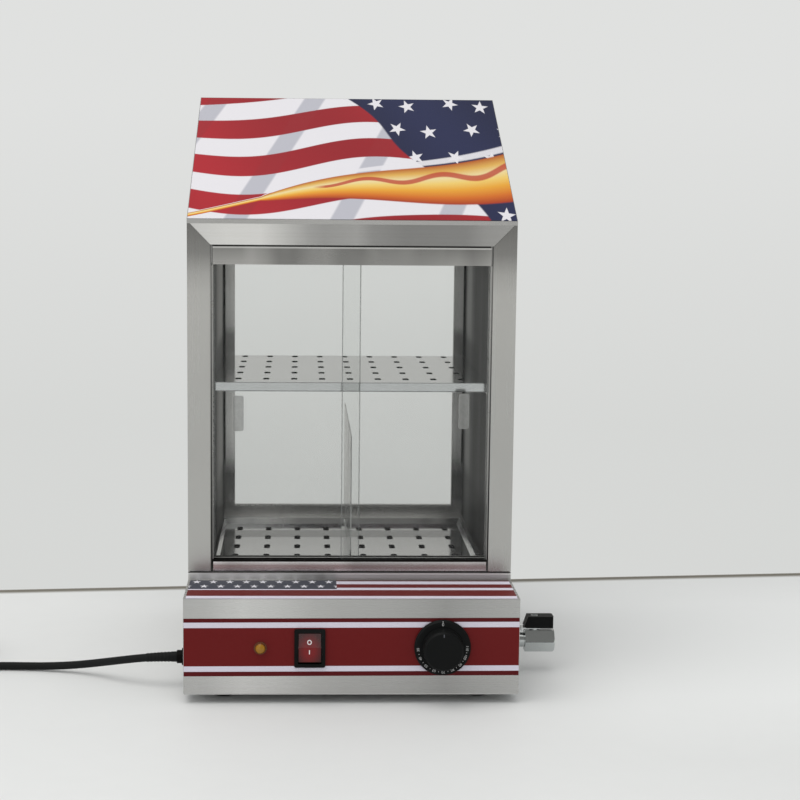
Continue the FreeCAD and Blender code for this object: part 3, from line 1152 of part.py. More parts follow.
def slot_grid(owner, name, z, count_x, pitch_x, count_y, pitch_y, first, width, length):
    """A grid of round-ended slots through a sheet."""
    x, y = first
    straight = (length - width) / 2
    flat = pocket(owner, name + "_flat", "XY", z - overrun / 2, overrun,
                  [rectangle(x - width / 2, x + width / 2, y - straight, y + straight)])
    ends = pocket(owner, name + "_ends", "XY", z - overrun / 2, overrun,
                  [((x, y - straight), width / 2), ((x, y + straight), width / 2)])
    grid = owner.newObject("PartDesign::MultiTransform", name + "_grid")
    rows = []
    for axis, count, pitch in (("X", count_x, pitch_x), ("Y", count_y, pitch_y)):
        row = owner.newObject("PartDesign::LinearPattern", f"{name}_{axis}_row")
        row.Direction = (origin_feature(owner, axis + "_Axis"), [""])
        bind(row, "Length", (count - 1) * pitch)
        row.Occurrences = count
        rows.append(row)
    grid.Originals = [flat, ends]
    grid.Transformations = rows
    owner.Tip = grid
    return grid


# Shelf: a slotted sheet with a front lip, on ledges screwed to the liners
def make_shelf():
    top = shelf_top
    front = cabinet_front + size("shelf_front")
    back = rear_plane - gap
    half = inner_half - size("shelf_side_gap")
    shelf = new_body("shelf_body")
    thick = size("shelf_sheet")
    pad(shelf, "shelf_pad", "XY", top - thick, thick, [rectangle(-half, half, front, back)])
    pad(shelf, "shelf_front_lip", "XY", top - size("shelf_lip"), size("shelf_lip") - thick / 2,
        [rectangle(-half, half, front, front + thick)])
    columns, rows = dimensions["shelf_columns"], dimensions["shelf_rows"]
    column_pitch, row_pitch = 2 * half * shelf_column_share, (back - front) * shelf_row_share
    slot_grid(shelf, "shelf_slot", top, columns, column_pitch, rows, row_pitch,
              (-(columns - 1) / 2 * column_pitch, front + (back - front) * shelf_first_share),
              size("slot_width"), size("shelf_slot"))
    keep(shelf, "shelf")
    ledges = []
    ledge_top = top - thick
    ledge_front, ledge_back = frame_back + gap, rear_plane - gap
    for side in (-1, 1):
        ledge = new_body(f"ledge_{side + 1}")
        base, tip = side * inner_half, side * (inner_half - size("ledge"))
        step = side * wall
        pad(ledge, f"ledge_pad_{side + 1}", "XZ", ledge_front, ledge_back - ledge_front,
            [[(base, ledge_top), (tip, ledge_top), (tip, ledge_top - wall), (base - step, ledge_top - wall),
              (base - step, ledge_top - size("ledge")), (base, ledge_top - size("ledge"))]])
        start = inner_half - 2 * wall if side > 0 else -inner_half - 2 * wall
        pocket(ledge, f"ledge_holes_{side + 1}", "YZ", start, 4 * wall,
               [(spot, ledge_hole) for spot in ledge_spots])
        ledges.append(ledge)
        for y, z in ledge_spots:
            panel_screw("X", side > 0, side * (inner_half - wall), y, z)
    keep(group("ledge_group", ledges), "shelf_ledges")


# Slotted tray above the tank, with slanted rims, spot-welded lugs, and the divider that stands in it
def make_tray():
    low = floor_z + gap
    high = low + size("tray_rim")
    slant = size("tray_slant")
    left, right = size("tray_left_gap") - inner_half, inner_half - size("tray_right_gap")
    front = cabinet_front + size("tray_front")
    back = rear_plane - size("tray_back_gap")
    tray = new_body("tray_body")

    def ring(name, z, grow):
        return new_sketch(tray, name, "XY", z, [rectangle(left - grow, right + grow, front - grow, back + grow)])

    outer = tray.newObject("PartDesign::AdditiveLoft", "tray_outer")
    outer.Profile = ring("tray_outer_low", low, -slant)
    outer.Sections = [ring("tray_outer_high", high, 0)]
    inner = tray.newObject("PartDesign::SubtractiveLoft", "tray_inner")
    slope = slant / size("tray_rim")
    inner.Profile = ring("tray_inner_low", low + wall, slope * wall - slant - wall)
    inner.Sections = [ring("tray_inner_high", high + overrun, slope * overrun - wall)]
    centre = (left + right) / 2
    lug_half = wall / 2 + gap
    divider_x = size("divider_x")
    floor_top = low + wall
    for name, y in (("front", front + 2 * slant + wall), ("back", back - 3 * slant - size("clip_length"))):
        for side in (-1, 1):
            near = divider_x + side * lug_half
            far = near + side * wall
            toe = near + side * size("clip_foot")
            pad(tray, f"lug_{name}_{side + 1}", "XZ", y, size("clip_length"),
                [[(near, floor_top - wall / 2), (toe, floor_top - wall / 2), (toe, floor_top + wall),
                  (far, floor_top + wall), (far, floor_top + size("clip_height")),
                  (near, floor_top + size("clip_height"))]])
    columns, rows = dimensions["tray_columns"], dimensions["tray_rows"]
    column_pitch, row_pitch = (right - left) * tray_column_share, (back - front) * tray_row_share
    group_reach = (right - left) * tray_middle_share / 2
    span = (columns - 1) * column_pitch
    for name, first_x in (("left", centre - group_reach - span), ("right", centre + group_reach)):
        slot_grid(tray, f"tray_{name}", floor_top, columns, column_pitch, rows, row_pitch,
                  (first_x, front + (back - front) * tray_first_share), size("slot_width"), size("tray_slot"))
    keep(tray, "bottom_tray")
    divider = new_body("divider_body")
    foot = floor_top + gap
    notch = high + gap
    divider_front = front
    divider_back = rear_plane - size("divider_back")
    pad(divider, "divider_pad", "YZ", divider_x - wall / 2, wall,
        [[(divider_front, notch), (front + slant + 2 * wall, notch), (front + slant + 2 * wall, foot),
          (back - slant - 2 * wall, foot), (back - slant - 2 * wall, notch), (back + wall, notch),
          (back + wall, foot), (divider_back, foot), (divider_back, foot + size("divider_height")),
          (divider_front, foot + size("divider_height"))]])
    keep(divider, "divider")


# Printed films on the base: the striped band on the front, and the strip on the deck
def make_base_decals():
    film = size("decal")
    low, high = size("band_low"), size("band_high")
    hole = size("screw_radius") + size("screw_clearance")
    margin = gap
    band = new_body("front_band_body")
    housing_x = size("housing_width") / 2 + gap
    housing_z = size("housing_height") / 2 + gap
    circles = [(lamp_place, size("lamp_body_radius") + gap), (knob_place, size("spindle_radius") + wall)]
    for side in (-1, 1):
        spot = (knob_place[0] + side * size("thermostat_screw_pitch") / 2, knob_place[1])
        circles.append((spot, hole))
    pad(band, "front_band_pad", "XZ", -film, film,
        [[(margin - half_width, low), (half_width - margin, low + size("band_tilt")),
          (half_width - margin, high + size("band_tilt")), (margin - half_width, high)],
         rectangle(switch_place[0] - housing_x, switch_place[0] + housing_x, switch_place[1] - housing_z,
                   switch_place[1] + housing_z)] + circles)
    strip = new_body("deck_strip_body")
    edge = size("deck_margin")
    pad(strip, "deck_strip_pad", "XY", deck_z, film,
        [rectangle(edge - half_width, half_width - edge, edge, cabinet_front - edge)])
    keep(group("base_decal_group", [band, strip]), "base_decals")


# Routes: straight runs joined by tangent arcs, and smooth turns joined by pairs of arcs
run_share = 0.45


def vector(spot):
    """A place in the case as a vector in the part's frame."""
    return place(*spot)


def arc_between(start, corner, end, share):
    """The tangent arc that rounds one corner of a route, with its radius and turn."""
    before, after = corner - start, end - corner
    turn = before.getAngle(after)
    reach = share * min(before.Length, after.Length)
    first = corner - before.normalize() * reach
    last = corner + after.normalize() * reach
    radius = reach / math.tan(turn / 2)
    inward = (first + last) * 0.5 - corner
    middle = corner + inward.normalize() * (radius / math.cos(turn / 2) - radius)
    return first, middle, last, radius


def rounded_path(points, share=run_share):
    """Edges of a route with every corner rounded, and the radii used."""
    edges, radii = [], []
    here = points[0]
    for index in range(1, len(points) - 1):
        first, middle, last, radius = arc_between(points[index - 1], points[index], points[index + 1], share)
        edges.append(Part.LineSegment(here, first).toShape())
        edges.append(Part.Arc(first, middle, last).toShape())
        radii.append(radius)
        here = last
    edges.append(Part.LineSegment(here, points[-1]).toShape())
    return edges, radii


def tube_on(edges, radius):
    """A round tube along joined edges, made solid."""
    wire = Part.Wire(edges)
    start = edges[0].valueAt(edges[0].FirstParameter)
    direction = edges[0].tangentAt(edges[0].FirstParameter)
    ring = Part.Wire([Part.Circle(start, direction, number(radius)).toShape()])
    return wire.makePipeShell([ring], True, False), wire


def tube_along(route, radius):
    """A round tube along a route of places."""
    edges, _ = rounded_path([vector(spot) for spot in route])
    return tube_on(edges, radius)[0]


def biarc(start, start_way, end, end_way):
    """Two arcs that join two places with given directions."""
    chord = end - start
    both = start_way + end_way
    square = 2 - 2 * start_way.dot(end_way)
    linear = 2 * chord.dot(both)
    reach = (-linear + math.sqrt(linear * linear + 4 * square * chord.dot(chord))) / (2 * square)
    joint = (start + start_way * reach + end - end_way * reach) * 0.5
    return [arc_from(start, start_way, joint), arc_from(end, end_way * -1, joint)]


def arc_from(start, way, end):
    """The arc that leaves a place in a direction and reaches another."""
    chord = end - start
    across = chord - way * chord.dot(way)
    across.normalize()
    radius = chord.dot(chord) / (2 * chord.dot(across))
    centre = start + across * radius
    middle = (start + end) * 0.5 - centre
    middle.normalize()
    return Part.Arc(start, centre + middle * radius, end).toShape()


# Cord: gland and nut in the case wall, the free lead to the left, a coil of the spare length, and a plug
cord_route = [
    (8.6, 50, 26.6), (24.6, 50.3, 26.3), (42.4, 54.6, 23.8), (61, 66.5, 18.4), (80.5, 80, 12.4),
    (102, 91, 7.2), (127, 97.6, 4.3), (156, 100.9, 3.7), (184, 101.4, 3.7), (212, 100.4, 3.7),
    (236, 100, 3.7),
]
coil_turns_per_layer = 3


def lead_place(spot):
    """A place of the lead, from its distance left of the case, in the part's frame."""
    return place(-half_width - spot[0], spot[1], spot[2])


def make_gland():
    y, z = size("gland_y"), size("gland_z")
    outside = half_width + size("gland_length")
    length = size("gland_length") + wall + size("gland_tail")
    flange = rod("gland_flange_disc", "X", size("gland_flange_radius"), size("gland_flange"),
                 -half_width - size("gland_flange"), y, z)
    barrel = rod("gland_barrel", "X", size("gland_radius"), length, -outside, y, z)
    bore = rod("gland_bore", "X", size("cord_radius") + gap, length, 3 * wall - outside, y, z)
    keep(cut("gland_cut", join("gland_fuse", flange, barrel), bore), "cable_gland")
    nut = hexagon("gland_nut_body", "X", size("gland_nut_radius"), size("gland_nut_height"), wall - half_width,
                  y, z)
    nut_bore = rod("gland_nut_bore", "X", size("gland_radius") + size("running_gap"),
                   size("gland_nut_height") + 2 * overrun, wall - half_width - overrun, y, z)
    keep(cut("gland_nut_cut", nut, nut_bore), "gland_nut")


def make_cord():
    points = [lead_place(spot) for spot in cord_route]
    edges, radii = rounded_path(points)
    shape, wire = tube_on(edges, size("cord_radius"))
    print("cord radii", [round(radius, 1) for radius in radii])
    report_tube("power_cord", shape, wire, size("cord_radius"))
    piece = doc.addObject("Part::Feature", "power_cord_shape")
    piece.Shape = shape
    keep(piece, "power_cord")
    return wire.Length


def report_tube(name, shape, wire, radius):
    """Prints a tube's volume beside its section times its length."""
    section = math.pi * number(radius) ** 2
    print(name, "volume", round(shape.Volume, 1), "section times length", round(section * wire.Length, 1),
          "length", round(wire.Length, 1))


def coil_spot(turn):
    """The centre of the lead after a number of turns: two flat spirals, the second above the first."""
    layers = 2 * coil_turns_per_layer
    inward = min(turn, layers - turn)
    step = dimensions["coil_step"]
    radius = dimensions["coil_radius"] - step * inward
    climb = min(1.0, max(0.0, (turn - coil_turns_per_layer + 0.25) / 0.5))
    rise = step * (climb * climb * (3 - 2 * climb))
    angle = -math.pi / 2 - 2 * math.pi * turn
    middle_y = dimensions["coil_front"] + dimensions["coil_radius"]
    return place(radius * math.cos(angle) - dimensions["coil_reach"] - half_width,
                 middle_y + radius * math.sin(angle), dimensions["coil_height"] + rise)


def coil_way(turn):
    """The direction of the lead at a number of turns."""
    small = 1e-4
    way = coil_spot(turn + small) - coil_spot(turn - small)
    return way.normalize()


def make_coil():
    total = 2 * coil_turns_per_layer
    quarter = 0.25
    start_way = FreeCAD.Vector(-1, 0, 0)
    end_way = coil_way(total - 1e-3)
    edges = []
    places = [coil_spot(index * quarter) for index in range(4 * total + 1)]
    ways = [coil_way(index * quarter) for index in range(4 * total + 1)]
    ways[0] = start_way
    ways[-1] = FreeCAD.Vector(-1, 0, 0)
    edges.append(Part.LineSegment(lead_place(cord_route[-1]), places[0]).toShape())
    for index in range(4 * total):
        edges.extend(biarc(places[index], ways[index], places[index + 1], ways[index + 1]))
    tail = places[-1] + ways[-1] * dimensions["coil_tail"]
    edges.append(Part.LineSegment(places[-1], tail).toShape())
    ordered = Part.__sortEdges__(edges)
    shape, wire = tube_on(ordered, size("cord_radius"))
    report_tube("cord_coil", shape, wire, size("cord_radius"))
    samples = wire.discretize(Distance=2.0)
    least = min((samples[a] - samples[b]).Length for a in range(len(samples))
                for b in range(a + 12, len(samples)))
    print("coil least gap to itself", round(least - 2 * dimensions["cord_radius"], 2), "way", end_way)
    piece = doc.addObject("Part::Feature", "cord_coil_shape")
    piece.Shape = shape
    keep(piece, "cord_coil")
    return wire.Length, tail


def make_plug(tail):
    # a moulded plug that lies on the floor in line with the coil's end
    start_x = tail.x - number(origin_x)
    centre_y = tail.y - number(origin_y)
    centre_z = tail.z
    length, relief = dimensions["plug_length"], dimensions["plug_relief"]
    relief_end = start_x - relief
    body_end = relief_end - length
    sleeve = cone("plug_sleeve", "X", size("plug_relief_radius") + wall, size("plug_relief_radius"),
                  relief + number(wall), relief_end - number(wall), centre_y, centre_z)
    half_w, half_h = dimensions["plug_width"] / 2, dimensions["plug_height"] / 2
    block = box("plug_block", Size(body_end, repr(body_end)), Size(relief_end, repr(relief_end)),
                centre_y - half_w, centre_y + half_w, Size(centre_z - half_h, repr(centre_z - half_h)),
                Size(centre_z + half_h, repr(centre_z + half_h)))
    rounded = doc.addObject("Part::Fillet", "plug_rounded")
    rounded.Base = block
    doc.recompute()
    fillet = dimensions["plug_fillet"]
    rounded.Edges = [(index, fillet, fillet) for index, edge in enumerate(block.Shape.Edges, start=1)
                     if runs_along(edge, axis_x) or runs_along(edge, axis_z)]
    blades = [
        box(f"plug_blade_{side + 1}", Size(body_end, repr(body_end)) - size("blade_length"),
            Size(body_end, repr(body_end)) + wall, centre_y + side * size("blade_pitch") / 2 - size("blade_thick") / 2,
            centre_y + side * size("blade_pitch") / 2 + size("blade_thick") / 2,
            centre_z + size("earth_drop") / 2 - size("blade_width") / 2,
            centre_z + size("earth_drop") / 2 + size("blade_width") / 2)
        for side in (-1, 1)
    ]
    earth = rod("plug_earth_pin", "X", size("earth_radius"), size("blade_length") + 3 * wall,
                Size(body_end, repr(body_end)) - size("blade_length") - 2 * wall, centre_y,
                centre_z - size("earth_drop") * 3 / 4)
    keep(join("plug_fuse", sleeve, rounded, earth, *blades), "power_plug")


def main():
    make_base_casing()
    make_bottom_plate()
    make_feet()
    make_bottom_screws()
    make_water_tank()
    make_heating_element()
    make_drain_valve()
    make_thermostat()
    make_knob()
    make_switch()
    make_lamp()
    make_wiring_parts()
    make_gland()
    cord_length = make_cord()
    coil_length, tail = make_coil()
    make_plug(tail)
    print("lead length", round(cord_length + coil_length, 1))
    make_plinth()
    make_front_frame()
    make_roof()
    make_walls()
    make_rear()
    make_tracks()
    make_doors()
    make_shelf()
    make_tray()
    make_base_decals()
    keep(group("panel_screw_group", panel_screws), "panel_screws")
    keep(group("seal_group", seals), "seals")


main()

doc.recompute()
for item in doc.Objects:
    if "Invalid" in item.State or "Error" in item.State:
        raise RuntimeError(f"{item.Label} did not compute: {item.State}")
os.makedirs("parts", exist_ok=True)
for piece in nodes:
    shape = piece.Shape
    if shape.isNull() or not shape.isValid() or not shape.Solids:
        raise RuntimeError(f"{piece.Label} has no valid shape")
for piece in nodes:
    piece.Shape.exportStep(f"parts/{piece.Label}.step")
print("pieces written", len(nodes))
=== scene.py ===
import bpy
import bmesh
import math
from mathutils import Matrix, Vector


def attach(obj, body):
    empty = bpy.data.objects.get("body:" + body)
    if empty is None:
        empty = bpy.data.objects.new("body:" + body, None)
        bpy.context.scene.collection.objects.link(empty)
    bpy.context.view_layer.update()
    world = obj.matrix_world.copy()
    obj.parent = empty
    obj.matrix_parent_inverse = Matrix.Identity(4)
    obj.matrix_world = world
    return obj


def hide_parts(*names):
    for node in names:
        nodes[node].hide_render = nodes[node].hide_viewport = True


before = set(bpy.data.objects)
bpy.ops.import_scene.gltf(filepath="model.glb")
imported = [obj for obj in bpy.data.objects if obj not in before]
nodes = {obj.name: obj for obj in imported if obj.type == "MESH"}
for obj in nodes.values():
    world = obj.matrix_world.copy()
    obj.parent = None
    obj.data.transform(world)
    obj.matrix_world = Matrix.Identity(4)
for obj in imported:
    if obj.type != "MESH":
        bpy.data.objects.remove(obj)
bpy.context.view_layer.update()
mm = 0.001
print("stage: frame loaded,", len(nodes), "nodes")

# from the middle of the case's front edge, on the floor, to the part's own frame
caseShift = Vector((-17.0, -155.5, 0.0))


def place(x, y, z):
    return (Vector((x, y, z)) + caseShift) * mm


# a dictionary whose facts are read as look.size
class Look(dict):
    __getattr__ = dict.__getitem__


def link(name, data):
    piece = bpy.data.objects.new(name, data)
    bpy.context.collection.objects.link(piece)
    return piece


# camera, as solved from the photograph
camera = Look(
    eye=(-43.6, -1396, 436.8), yaw=1.79, pitch=7.372, roll=0.472, lens=77.6, shift=0.0577, sensor=36, reach=30
)


def makeCamera():
    yaw, pitch, roll = (math.radians(camera[key]) for key in ("yaw", "pitch", "roll"))
    ahead = Vector((math.sin(yaw) * math.cos(pitch), math.cos(yaw) * math.cos(pitch), -math.sin(pitch)))
    level = Vector((math.cos(yaw), -math.sin(yaw), 0))
    above = level.cross(ahead)
    right = level * math.cos(roll) + above * math.sin(roll)
    top = above * math.cos(roll) - level * math.sin(roll)
    turn = Matrix((right, top, -ahead)).transposed().to_4x4()
    data = bpy.data.cameras.new("photoCamera")
    data.lens = camera.lens
    data.sensor_width = camera.sensor
    data.shift_x = camera.shift
    data.clip_end = camera.reach
    eye = link("photoCamera", data)
    eye.matrix_world = Matrix.Translation(place(*camera.eye)) @ turn
    bpy.context.scene.camera = eye


makeCamera()


# a shader input gets another node's output or a plain value
def feed(tree, socket, value):
    if isinstance(value, Wire):
        tree.links.new(value.socket, socket)
    else:
        socket.default_value = value


def calculate(tree, operation, *terms):
    node = tree.nodes.new("ShaderNodeMath")
    node.operation = operation
    for socket, term in zip(node.inputs, terms):
        feed(tree, socket, term)
    return Wire(tree, node.outputs[0])


# the sockets of a colour mix
mixSockets = {"share": 0, "first": 6, "second": 7, "result": 2}


def mixColors(tree, share, first, second, kind="MIX"):
    node = tree.nodes.new("ShaderNodeMix")
    node.data_type = "RGBA"
    node.blend_type = kind
    feed(tree, node.inputs[mixSockets["share"]], share)
    for key, value in (("first", first), ("second", second)):
        feed(tree, node.inputs[mixSockets[key]], value if isinstance(value, Wire) else (*value, 1))
    return Wire(tree, node.outputs[mixSockets["result"]])


# a shader socket that can be used in sums
class Wire:
    def __init__(self, tree, socket):
        self.tree = tree
        self.socket = socket

    def math(self, operation, *others):
        return calculate(self.tree, operation, self, *others)

    def __add__(self, other):
        return self.math("ADD", other)

    def __sub__(self, other):
        return self.math("SUBTRACT", other)

    def __rsub__(self, other):
        return calculate(self.tree, "SUBTRACT", other, self)

    def __mul__(self, other):
        return self.math("MULTIPLY", other)

    def __truediv__(self, other):
        return self.math("DIVIDE", other)

    def above(self, edge, soft=0.0):
        return self.step(edge, soft) if soft else self.math("GREATER_THAN", edge)

    def below(self, edge, soft=0.0):
        return 1 - self.above(edge, soft)

    def step(self, edge, soft):
        return ((self - (edge - soft)) / (2 * soft)).math("MAXIMUM", 0.0).math("MINIMUM", 1.0)

    def between(self, low, high, soft=0.0):
        return self.above(low, soft) * self.below(high, soft)

    def unsigned(self):
        return self.math("ABSOLUTE")

    def sine(self):
        return self.math("SINE")


# the distance from a point, given by two lengths
def distance(across, up):
    return (across * across + up * up).math("SQRT")


# one material and its node tree
class Finish:
    def __init__(self, name, **values):
        self.material = bpy.data.materials.new(name)
        self.material.use_nodes = True
        self.tree = self.material.node_tree
        self.shader = self.tree.nodes["Principled BSDF"]
        self.set(**values)

    def set(self, **values):
        for key, value in values.items():
            feed(self.tree, self.shader.inputs[key.replace("_", " ")], value)

    def node(self, kind, output=0, stops=(), **inputs):
        node = self.tree.nodes.new("ShaderNode" + kind)
        if stops:
            elements = node.color_ramp.elements
            for element, (spot, color) in zip(tuple(elements), (stops[0], stops[-1])):
                element.position = spot
                element.color = (*color, 1)
            for spot, color in stops[1:-1]:
                elements.new(spot).color = (*color, 1)
        for key, value in inputs.items():
            feed(self.tree, node.inputs[key.replace("_", " ")], value)
        return Wire(self.tree, node.outputs[output])

    def coordinates(self):
        return self.node("TexCoord", "Object")

    def axes(self, vector):
        split = self.node("SeparateXYZ", Vector=vector)
        return [Wire(self.tree, output) for output in split.socket.node.outputs]

    def caseAxes(self):
        return [axis * 1000 - shift for axis, shift in zip(self.axes(self.coordinates()), caseShift)]

    def facing(self):
        return self.axes(self.node("TexCoord", "Normal"))

    # a shade that changes with the value
    def ramp(self, value, stops):
        low, high = stops[0][0], stops[-1][0]
        spots = [((spot - low) / (high - low), (shade,) * 3) for spot, shade in stops]
        return self.node("ValToRGB", stops=spots, Fac=(value - low) / (high - low))

    def noise(self, vector, scale, detail, roughness, distortion=0.0):
        return self.node("TexNoise", Vector=vector, Scale=scale, Detail=detail, Roughness=roughness,
                         Distortion=distortion)

    def specks(self, scale, detail=3.0, roughness=0.5):
        return self.noise(self.coordinates(), scale, detail, roughness)

    def fibres(self, scale, detail=3.0, roughness=0.5, distortion=0.0, turn=(0, 0, 0)):
        vector = self.node("Mapping", Vector=self.coordinates(), Scale=scale, Rotation=turn)
        return self.noise(vector, 1.0, detail, roughness, distortion)

    def mixed(self, share, first, second, kind="MIX"):
        return mixColors(self.tree, share, first, second, kind)

    def multiplied(self, first, second):
        return self.mixed(1.0, first, second, "MULTIPLY")

    def color(self):
        return Wire(self.tree, self.shader.inputs["Base Color"].links[0].from_socket)

    # a colour over the one there
    def cover(self, share, color, kind="MIX"):
        self.set(Base_Color=self.mixed(share, self.color(), color, kind))

    def paint(self, share, first, second):
        self.set(Base_Color=self.mixed(share, first, second))

    def bump(self, height, strength, distance):
        self.set(Normal=self.node("Bump", Height=height, Strength=strength, Distance=distance))

    def clear(self, tint=(1, 1, 1)):
        return self.node("BsdfTransparent", Color=(*tint, 1))

    def layer(self, share, first, second):
        blend = self.tree.nodes.new("ShaderNodeMixShader")
        for socket, source in zip(blend.inputs, (share, first, second)):
            feed(self.tree, socket, source)
        self.tree.links.new(blend.outputs[0], self.tree.nodes["Material Output"].inputs[0])

    def whole(self):
        return Wire(self.tree, self.shader.outputs[0])


# how each steel sheet is brushed, its tint and roughness, and its painted reflection and shade along an axis of the
# case
brushes = {
    "level": (1.2, 420, 420), "turned": (420, 1.2, 420), "upright": (420, 420, 1.2), "lining": (60, 60, 2),
    "shelf": (1.5, 300, 300), "divider": (60, 90, 4)
}
steelKeys = ("brush", "axis", "tint", "rough", "shades", "waves")
steelRows = {
    "roofSteel": ("level", 0, (1, 0.992, 0.96), 0.28, [(-140, 0.56), (0, 0.6), (140, 0.56)]),
    "casingSteel": ("level", 0, (1, 0.99, 0.955), 0.27, [(-140, 0.52), (-121, 0.555), (-106, 0.63), (-91, 0.69),
        (-76, 0.66), (-61, 0.63), (-46, 0.575), (-31, 0.525), (-8, 0.49), (29, 0.47), (59, 0.43), (78, 0.385),
        (104, 0.44), (140, 0.5)]),
    "railSteel": ("level", 0, (1, 0.995, 0.96), 0.24, [(-140, 0.86), (-106, 0.98), (-78, 0.98), (-65, 0.84),
        (-51, 0.69), (-37, 0.54), (-24, 0.48), (4, 0.53), (17, 0.41), (45, 0.345), (96, 0.36), (113, 0.46),
        (140, 0.51)]),
    "postSteel": ("upright", 2, (1, 0.985, 0.94), 0.26, [(90, 0.5), (200, 0.525), (269, 0.58), (320, 0.63),
        (338, 0.625), (355, 0.54), (372, 0.33), (395, 0.25)]),
    "sideSteel": ("upright", 1, (1, 0.992, 0.96), 0.27, [(60, 0.52), (140, 0.6), (240, 0.55), (330, 0.5)]),
    "plinthSteel": ("level", 0, (1, 0.99, 0.96), 0.4, [(-140, 0.75), (-120, 1), (-75, 1), (-58, 0.92),
        (-42, 0.7), (-25, 0.52), (-12, 0.58), (30, 0.5), (140, 0.5)]),
    "trackSteel": ("level", 0, (1, 0.98, 0.94), 0.16, [(-140, 0.7), (-120, 0.88), (-104, 0.6), (-70, 0.82),
        (-40, 0.7), (-10, 0.78), (4, 0.52), (20, 0.56), (60, 0.62), (100, 0.7), (140, 0.55)]),
    "rearSteel": ("upright", 2, (1, 0.99, 0.965), 0.2, [(90, 0.9), (108, 0.8), (116, 0.36), (140, 0.26),
        (158, 0.74), (190, 0.86), (232, 0.84), (254, 0.52), (268, 0.4), (280, 0.42), (290, 0.82), (400, 0.82)]),
    "leftLiner": ("lining", 1, (1, 0.99, 0.95), 0.45, [(70, 0.16), (112, 0.22), (128, 0.17), (142, 0.08),
        (160, 0.09), (185, 0.42), (228, 0.6), (268, 0.62), (290, 0.45), (300, 0.08), (330, 0.05)]),
    "shelfSteel": ("shelf", 1, (0.955, 0.985, 1), 0.13, [(60, 0.72), (89.5, 0.7), (92, 0.82), (330, 0.82)], 0.12),
    "traySteel": ("shelf", 1, (0.985, 1, 0.99), 0.12, [(60, 0.85), (150, 0.8), (202, 0.66), (207, 0.28),
        (234, 0.28), (243, 0.95), (330, 1)], 0.12),
    "dividerSteel": ("divider", 1, (0.985, 1, 0.99), 0.2, [(60, 0.3), (90, 0.42), (330, 0.62)]),
    "hiddenSteel": ("level", 0, (1, 0.99, 0.965), 0.26, [(-140, 0.54), (0, 0.58), (140, 0.54)]),
}
# the right liner's brush and tint, with painted reflection and shade along its depth
rightLiner = Look(
    brush="lining", axis=1, tint=(0.97, 0.99, 0.97), shades=[(70, 0.11), (112, 0.095), (137, 0.06), (160, 0.095),
    (190, 0.085), (215, 0.1), (240, 0.25), (256, 0.48), (280, 0.5), (296, 0.32), (304, 0.06), (330, 0.04)]
)
steelGrain = Look(
    detail=4, rough=0.6, cloud=9, tones=(0.925, 1.04), streaks=0.7, sideways=0.7, wave=7, waves=0.5, waveDepth=0.001,
    scratch=0.1, scratchDepth=0.0002
)


def brushed(finish, brush):
    return finish.fibres(brushes[brush], steelGrain.detail, steelGrain.rough)


def steelColor(finish, look):
    streaks = brushed(finish, look.brush)
    if look.brush == "level":
        sideways = finish.facing()[0].unsigned().above(steelGrain.sideways)
        streaks = finish.mixed(sideways, streaks, brushed(finish, "turned"))
    cloud = finish.specks(steelGrain.cloud, 3.0)
    low, high = (tuple(min(1.0, share * part) for part in look.tint) for share in steelGrain.tones)
    color = finish.mixed(streaks * steelGrain.streaks + cloud * (1 - steelGrain.streaks), low, high)
    shade = finish.ramp(finish.caseAxes()[look.axis], look.shades)
    return finish.multiplied(color, shade), streaks, cloud


def makeSteel(name, look):
    finish = Finish(name, Metallic=1.0)
    color, streaks, cloud = steelColor(finish, look)
    finish.set(Base_Color=color, Roughness=streaks * 0.1 + cloud * 0.08 + (look.rough - 0.09))
    grain = steelGrain
    waves = finish.node("Bump", Height=finish.specks(grain.wave, 2.0),
                        Strength=look.get("waves", grain.waves), Distance=grain.waveDepth)
    finish.set(Normal=finish.node("Bump", Height=streaks, Strength=grain.scratch, Distance=grain.scratchDepth,
                                  Normal=waves))
    return finish


steels = {name: makeSteel(name, Look(zip(steelKeys, row))) for name, row in steelRows.items()}

# shadows and lit edges of sheets are places in the case's frame with a softness; a face looks squarely or mostly
# one way when its normal is past these
square, mostly = 0.9, 0.5
shadowTone = (0.012, 0.012, 0.011)

# liner walls: painted shade at the foot, and a duller band of painted shade level with the shelf
linerShade = Look(
    foot=(152, 6), footShare=0.45, footTone=(0.01, 0.01, 0.01), band=(252, 282, 5), bandStart=(175, 10),
    bandShare=0.6, bandDull=0.3, bandTone=(0.03, 0.03, 0.03), shine=0.1, shineTint=(0.3, 0.3, 0.3, 1),
    metal=[(70, 0.55), (185, 0.58), (236, 0.78), (260, 0.92), (288, 0.92), (300, 0.5), (330, 0.5)]
)


def shadeLiner(finish):
    shade = linerShade
    x, y, z = finish.caseAxes()
    band = z.between(*shade.band)
    finish.cover(x.above(0.0), steelColor(finish, rightLiner)[0])
    finish.cover(z.below(*shade.foot) * shade.footShare, shade.footTone)
    finish.cover(band * y.above(*shade.bandStart) * shade.bandShare, shade.bandTone)
    finish.set(Metallic=finish.ramp(y, shade.metal) * (1 - band * shade.bandDull),
               Specular_IOR_Level=shade.shine, Specular_Tint=shade.shineTint)


# rear frame: painted reflection and shade across it, painted shade beside the window, plain on the outside
rearShade = Look(
    across=[(-140, 1), (-20, 0.95), (60, 0.98), (140, 1)], beside=(118.3, 0.3), besideFoot=(150, 5),
    besideTone=(0.03, 0.03, 0.029), outside=122, outsideTone=(0.55, 0.545, 0.53)
)


def shadeRear(finish):
    shade = rearShade
    x, y, z = finish.caseAxes()
    apart = x.unsigned()
    finish.cover(1.0, finish.ramp(x, shade.across), "MULTIPLY")
    finish.cover(apart.above(*shade.beside) * z.above(*shade.besideFoot), shade.besideTone)
    finish.cover(apart.above(shade.outside), shade.outsideTone)
